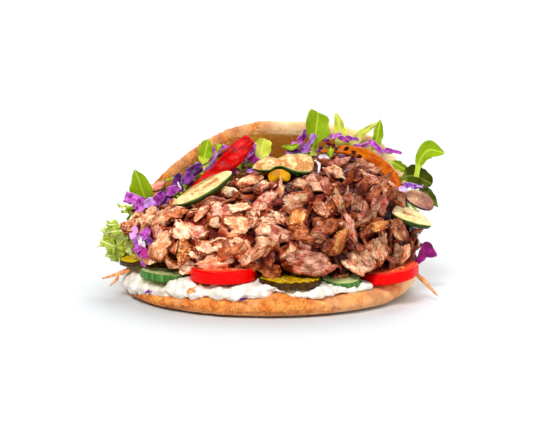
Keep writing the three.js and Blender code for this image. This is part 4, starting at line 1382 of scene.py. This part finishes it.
def make_salad(tree, owners, looks):
    """A smaller, crumpled core with single leaves and shreds all over it."""
    points, normals, faces = remeshed("salad_heap", voxel=2.2, smoothing=5)
    folds = 4 * np.abs(noise(points, 7, 51)) + 2.4 * np.abs(noise(points, 3.4, 53))
    shrunk = points - normals * (7 - folds + 12 * rise(points[:, 2], 62, 80))[:, None]
    shrunk[:, 2] = np.minimum(shrunk[:, 2], 77 + 2 * noise(points, 8, 52))
    material = core_material("salad_core", (52, 66, 8), (140, 156, 40))
    Solid().add(shrunk, faces).build("salad_core", material, "mixed_salad", "salad_heap")

    random = np.random.default_rng(23)
    rim, _ = solid_tree(["bread"])
    points, normals = seen_sites(tree, owners, "salad_heap", SALAD_VIEWS)
    solids = {name: Solid() for name, *_ in SALAD_LEAVES}
    for site, normal in zip(*scattered(points, normals, 5.0, random)):
        kind = random.choice(len(SALAD_LEAVES), p=[share for _, share, *_ in SALAD_LEAVES])
        name, _, half_widths, shape, grid = SALAD_LEAVES[kind]
        ahead = unit(np.cross(normal, random.normal(0, 1, 3)) + normal * random.uniform(-0.1, 0.4))
        start = site - normal * random.uniform(1.5, 3.5) - ahead * 5
        length = random.uniform(12, 20)
        line = curl_line(start, ahead, length, 0.28, random)
        face = normal + random.normal(0, 0.45, 3)
        seed = int(random.integers(100))
        hides_rim = covers(rim, np.array(line), depth=22, farthest=37) > 0.3
        if hides_rim or in_spots(np.array(line), CLEARINGS).any():
            continue
        spots, faces, values = sheet(line, face, random.uniform(*half_widths), *shape, seed, *grid)
        if name == "rocket":
            extra = {"stalk": leaf_stalk(values, length * 0.3)}
        elif name == "lettuce":
            extra = {"stalk": leaf_stalk(values, length * 0.5) * 0.7}
        else:
            extra = {"tint": random.uniform(-0.2, 0.2)}
        solids[name].add(spots, faces, leaf=values, **extra)
    for name, solid in solids.items():
        solid.build("salad_" + name, looks[name], "red_cabbage" if name == "cabbage" else name)


def make_frisee(look):
    """The curly bunch at the left end: feathery leaflets that spread from a few pale stems."""
    random = np.random.default_rng(31)
    low, high = (np.array(corner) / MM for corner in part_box("frisee_bunch_left"))
    centre = (low + high) / 2
    half = (high - low) / 2
    root = centre + half * [0.75, 0.3, -0.2]
    bunch = Solid()
    for _ in range(34):
        aim = unit(random.normal(0, 1, 3) * [1, 0.9, 1] + [-0.75, -0.35, 0.1])
        tip = centre + aim * half * random.uniform(0.95, 1.3)
        start = root + random.normal(0, 2.0, 3)
        middle = (start + tip) / 2 + random.normal(0, 2.0, 3)
        face = np.array([0, -1, 0.2]) + random.normal(0, 0.45, 3)
        points, faces, values = sheet([start, middle, tip], face, random.uniform(4.0, 7.0),
                                      frisee_outline, thickness=0.5, cup=1.4, ruffle=0.9, waves=2.0,
                                      seed=int(random.integers(100)), rows=38, columns=7,
                                      twist=random.uniform(-0.5, 0.5))
        bunch.add(points, faces, leaf=values, stalk=leaf_stalk(values, values[:, 0].max() * 0.45))
    bunch.build("frisee_leaflets", look, "lettuce", "frisee_bunch_left")


# Loose bits placed one by one: where the middle shows in the picture, and half length and half width
# there, all in pixels; the angle that it runs at in degrees; and its look.
GARNISH = [
    (184, 179, 9, 5, 35, "violet"), (177, 186, 7, 4, -60, "violet"), (173, 191, 8, 4, 20, "cabbage"),
    (180, 187, 5, 2, 100, "white"), (212, 161, 8, 3.6, 80, "lilac"), (224, 151, 9, 2.4, 40, "lilac"),
    (254, 160, 7, 3.4, -45, "magenta"), (249, 166, 5, 3, 10, "rocket"), (250, 171, 4, 2, 20, "lilac"),
    (219, 149, 4.5, 3.2, 70, "rocket"), (194, 163, 4, 1.4, 85, "rocket"), (170, 179, 7, 1, 5, "rocket"),
    (196, 175, 5, 2.6, -40, "rocket"), (309, 140, 8, 3, 55, "lilac"), (303, 149, 6, 3.4, 60, "lilac"),
    (291, 145, 9, 2.4, 5, "rocket"), (296, 152, 5, 2.4, -20, "violet"), (327, 156, 9, 4, 10, "white"),
    (330, 153, 5, 2.6, 80, "rocket"), (316, 169, 8, 1.1, 100, "white"), (333, 142, 9, 2.6, -5, "magenta"),
    (142, 204, 7, 3, 50, "cabbage"), (150, 203, 7, 4, 30, "lilac"), (152, 213, 5, 3, -60, "rocket"),
    (156, 293, 11, 1.4, 2, "violet"), (243, 298, 3, 1.3, 5, "violet"), (192, 291, 6, 2.4, 25, "carrot"),
    (200, 286, 3, 1.4, -20, "carrot"), (121, 263, 5, 3, -15, "magenta"), (146, 247, 6, 2, 110, "white"),
    (415, 240, 7, 1.2, 110, "white"), (146, 236, 7, 4, 60, "cabbage"), (152, 243, 6, 3, -60, "violet"),
    (149, 250, 8, 4, -30, "magenta"), (144, 242, 6, 1.6, 100, "white"),
]

# How far bits stand off the nodes that they lie on, in mm, where it isn't GARNISH_LIFT.
GARNISH_LIFTS = {"meat_heap": 3.4, "white_sauce": 0.9, "bread": 0.9}
GARNISH_LIFT = 1.4


def make_garnish(tree, owners, looks):
    random = np.random.default_rng(52)
    bits = {}
    for u, v, half_long, half_wide, angle, look in GARNISH:
        place, normal, index, scale = cast(tree, u, v)
        if place is None:
            continue
        facing = unit(np.array(normal) * 0.5 + TO_CAMERA * 0.7 + random.normal(0, 0.15, 3))
        along = heading(angle, facing) * half_long * scale
        middle = np.array(place) / MM + facing * GARNISH_LIFTS.get(owners[index], GARNISH_LIFT)
        bend = np.cross(facing, along) * random.uniform(-0.4, 0.4)
        line = [middle - along - facing, middle + bend + facing * 0.4, middle + along - facing * 0.6]
        seed = int(random.integers(100))
        outline = [oval_outline, wedge_outline, round_outline][seed % 3]
        points, faces, values = sheet(line, facing, half_wide * scale * 1.15, outline, thickness=0.8,
                                      cup=0.9, ruffle=0.7, waves=1.6, seed=seed, rows=30, columns=9,
                                      twist=random.uniform(-1, 1))
        bit = bits.setdefault(look, Solid())
        bit.add(points, faces, leaf=values, stalk=0.0, tint=random.uniform(-0.1, 0.15))
    for look, bit in bits.items():
        slot = look if look in ("rocket", "carrot") else "red_cabbage"
        bit.build("garnish_" + look, looks[look], slot)


# ---------------------------------------------------------------- stage

SKY_LIGHT = 0.14
FLOOR_REACH = 40.0  # m to each side
FLOOR_GAP = 0.4  # mm below the bread

# Azimuth, elevation, power, and how wide the light is in degrees.
LIGHTS = {
    "key": (-24, 48, 3.0, 24),
    "fill": (62, 32, 1.05, 40),
    "front": (14, 9, 0.42, 30),
    "rim": (165, 46, 3.1, 50),
}


def make_floor():
    floor = bpy.data.meshes.new("floor")
    corners = [(-1, -1), (1, -1), (1, 1), (-1, 1)]
    floor.from_pydata([(x * FLOOR_REACH, y * FLOOR_REACH, 0) for x, y in corners], [], [(0, 1, 2, 3)])
    ground = bpy.data.objects.new("floor", floor)
    ground.location.z = -FLOOR_GAP * MM
    bpy.context.scene.collection.objects.link(ground)
    paint = Shader("floor_paint", 0.1)
    paint.fix("Roughness", 0.9)
    paint.set("Base Color", paint.mix(paint.noise(60, 2), (206, 209, 211), (208, 211, 213)))
    floor.materials.append(paint.material)


def make_light():
    """Soft lights, and a sky that looks white but lights the scene only a little."""
    world = bpy.data.worlds.new("studio")
    world.use_nodes = True
    tree = world.node_tree
    background = tree.nodes["Background"].inputs
    background["Color"].default_value = (1, 1, 1, 1)
    backdrop = tree.nodes.new("ShaderNodeLightPath").outputs["Is Camera Ray"]
    strength = tree.nodes.new("ShaderNodeMapRange")
    strength.inputs["To Min"].default_value = SKY_LIGHT
    strength.inputs["To Max"].default_value = 1.0
    tree.links.new(backdrop, strength.inputs["Value"])
    tree.links.new(strength.outputs[0], background["Strength"])
    bpy.context.scene.world = world
    for name, (azimuth, elevation, power, spread) in LIGHTS.items():
        light = bpy.data.lights.new(name, "SUN")
        light.energy = power
        light.angle = math.radians(spread)
        holder = bpy.data.objects.new(name, light)
        holder.rotation_euler = (math.radians(90 - elevation), 0, math.radians(azimuth))
        bpy.context.scene.collection.objects.link(holder)


def make_camera():
    camera = bpy.data.cameras.new("camera")
    camera.lens = FOCAL_PIXELS / PICTURE_WIDTH * SENSOR_MM
    camera.sensor_width = SENSOR_MM
    camera.sensor_fit = "HORIZONTAL"
    camera.clip_start = 0.01
    camera.clip_end = 100
    holder = bpy.data.objects.new("camera", camera)
    holder.location = (Vector(CAMERA_TARGET) + CAMERA_SIDE * CAMERA_DISTANCE) * MM
    holder.rotation_euler = (math.pi / 2 - CAMERA_ELEVATION, 0, 0)
    bpy.context.scene.collection.objects.link(holder)
    bpy.context.scene.camera = holder
    bpy.context.scene.view_settings.view_transform = "Standard"


# ---------------------------------------------------------------- the sandwich

# Material name of each leaf, and its colours: blade, young blade and rib.
LEAF_LOOKS = {
    "rocket": ("rocket", (100, 136, 0), (164, 188, 2), (196, 210, 66)),
    # shade is a darker copy of the rocket look: painted shade.
    "shade": ("rocket_painted_shade", (40, 54, 0), (84, 92, 0), (122, 130, 26)),
    "lettuce": ("lettuce", (180, 190, 26), (216, 218, 84), (230, 232, 130)),
    "frisee": ("frisee", (108, 142, 8), (230, 234, 100), (242, 244, 172)),
}

# Material name of each cabbage, its dark, middle and light colour, and the colour and the
# strength of its ribs and cut edges.
CABBAGE_LOOKS = {
    "cabbage": ("red_cabbage", (98, 8, 104), (172, 54, 166), (214, 124, 214), (232, 184, 230), 0.8),
    "violet": ("violet_cabbage", (58, 8, 68), (102, 30, 118), (146, 68, 164), (206, 160, 214), 0.5),
    "lilac": ("lilac_cabbage", (128, 60, 160), (176, 112, 206), (206, 158, 226), (236, 214, 240), 0.9),
    "magenta": ("magenta_cabbage", (112, 0, 84), (160, 6, 124), (190, 40, 150), (230, 150, 214), 0.4),
    "white": ("cabbage_rib", (206, 186, 200), (232, 220, 226), (246, 240, 238), (250, 246, 244), 0.6),
}


def make_sandwich():
    looks = {key: leaf_material(*look) for key, look in LEAF_LOOKS.items()}
    looks |= {key: cabbage_material(*look) for key, look in CABBAGE_LOOKS.items()}
    looks["carrot"] = carrot_material()
    make_bread()
    make_sauce()
    make_slices()
    make_peppers()
    make_grilled()
    make_leaves(looks)
    make_cabbage(looks)
    make_carrots(looks["carrot"])
    tree, owners = solid_tree(nodes)
    make_meat(tree, owners)
    make_salad(tree, owners, looks)
    make_frisee(looks["frisee"])
    make_garnish(tree, owners, looks)


make_floor()
make_light()
make_camera()
make_sandwich()
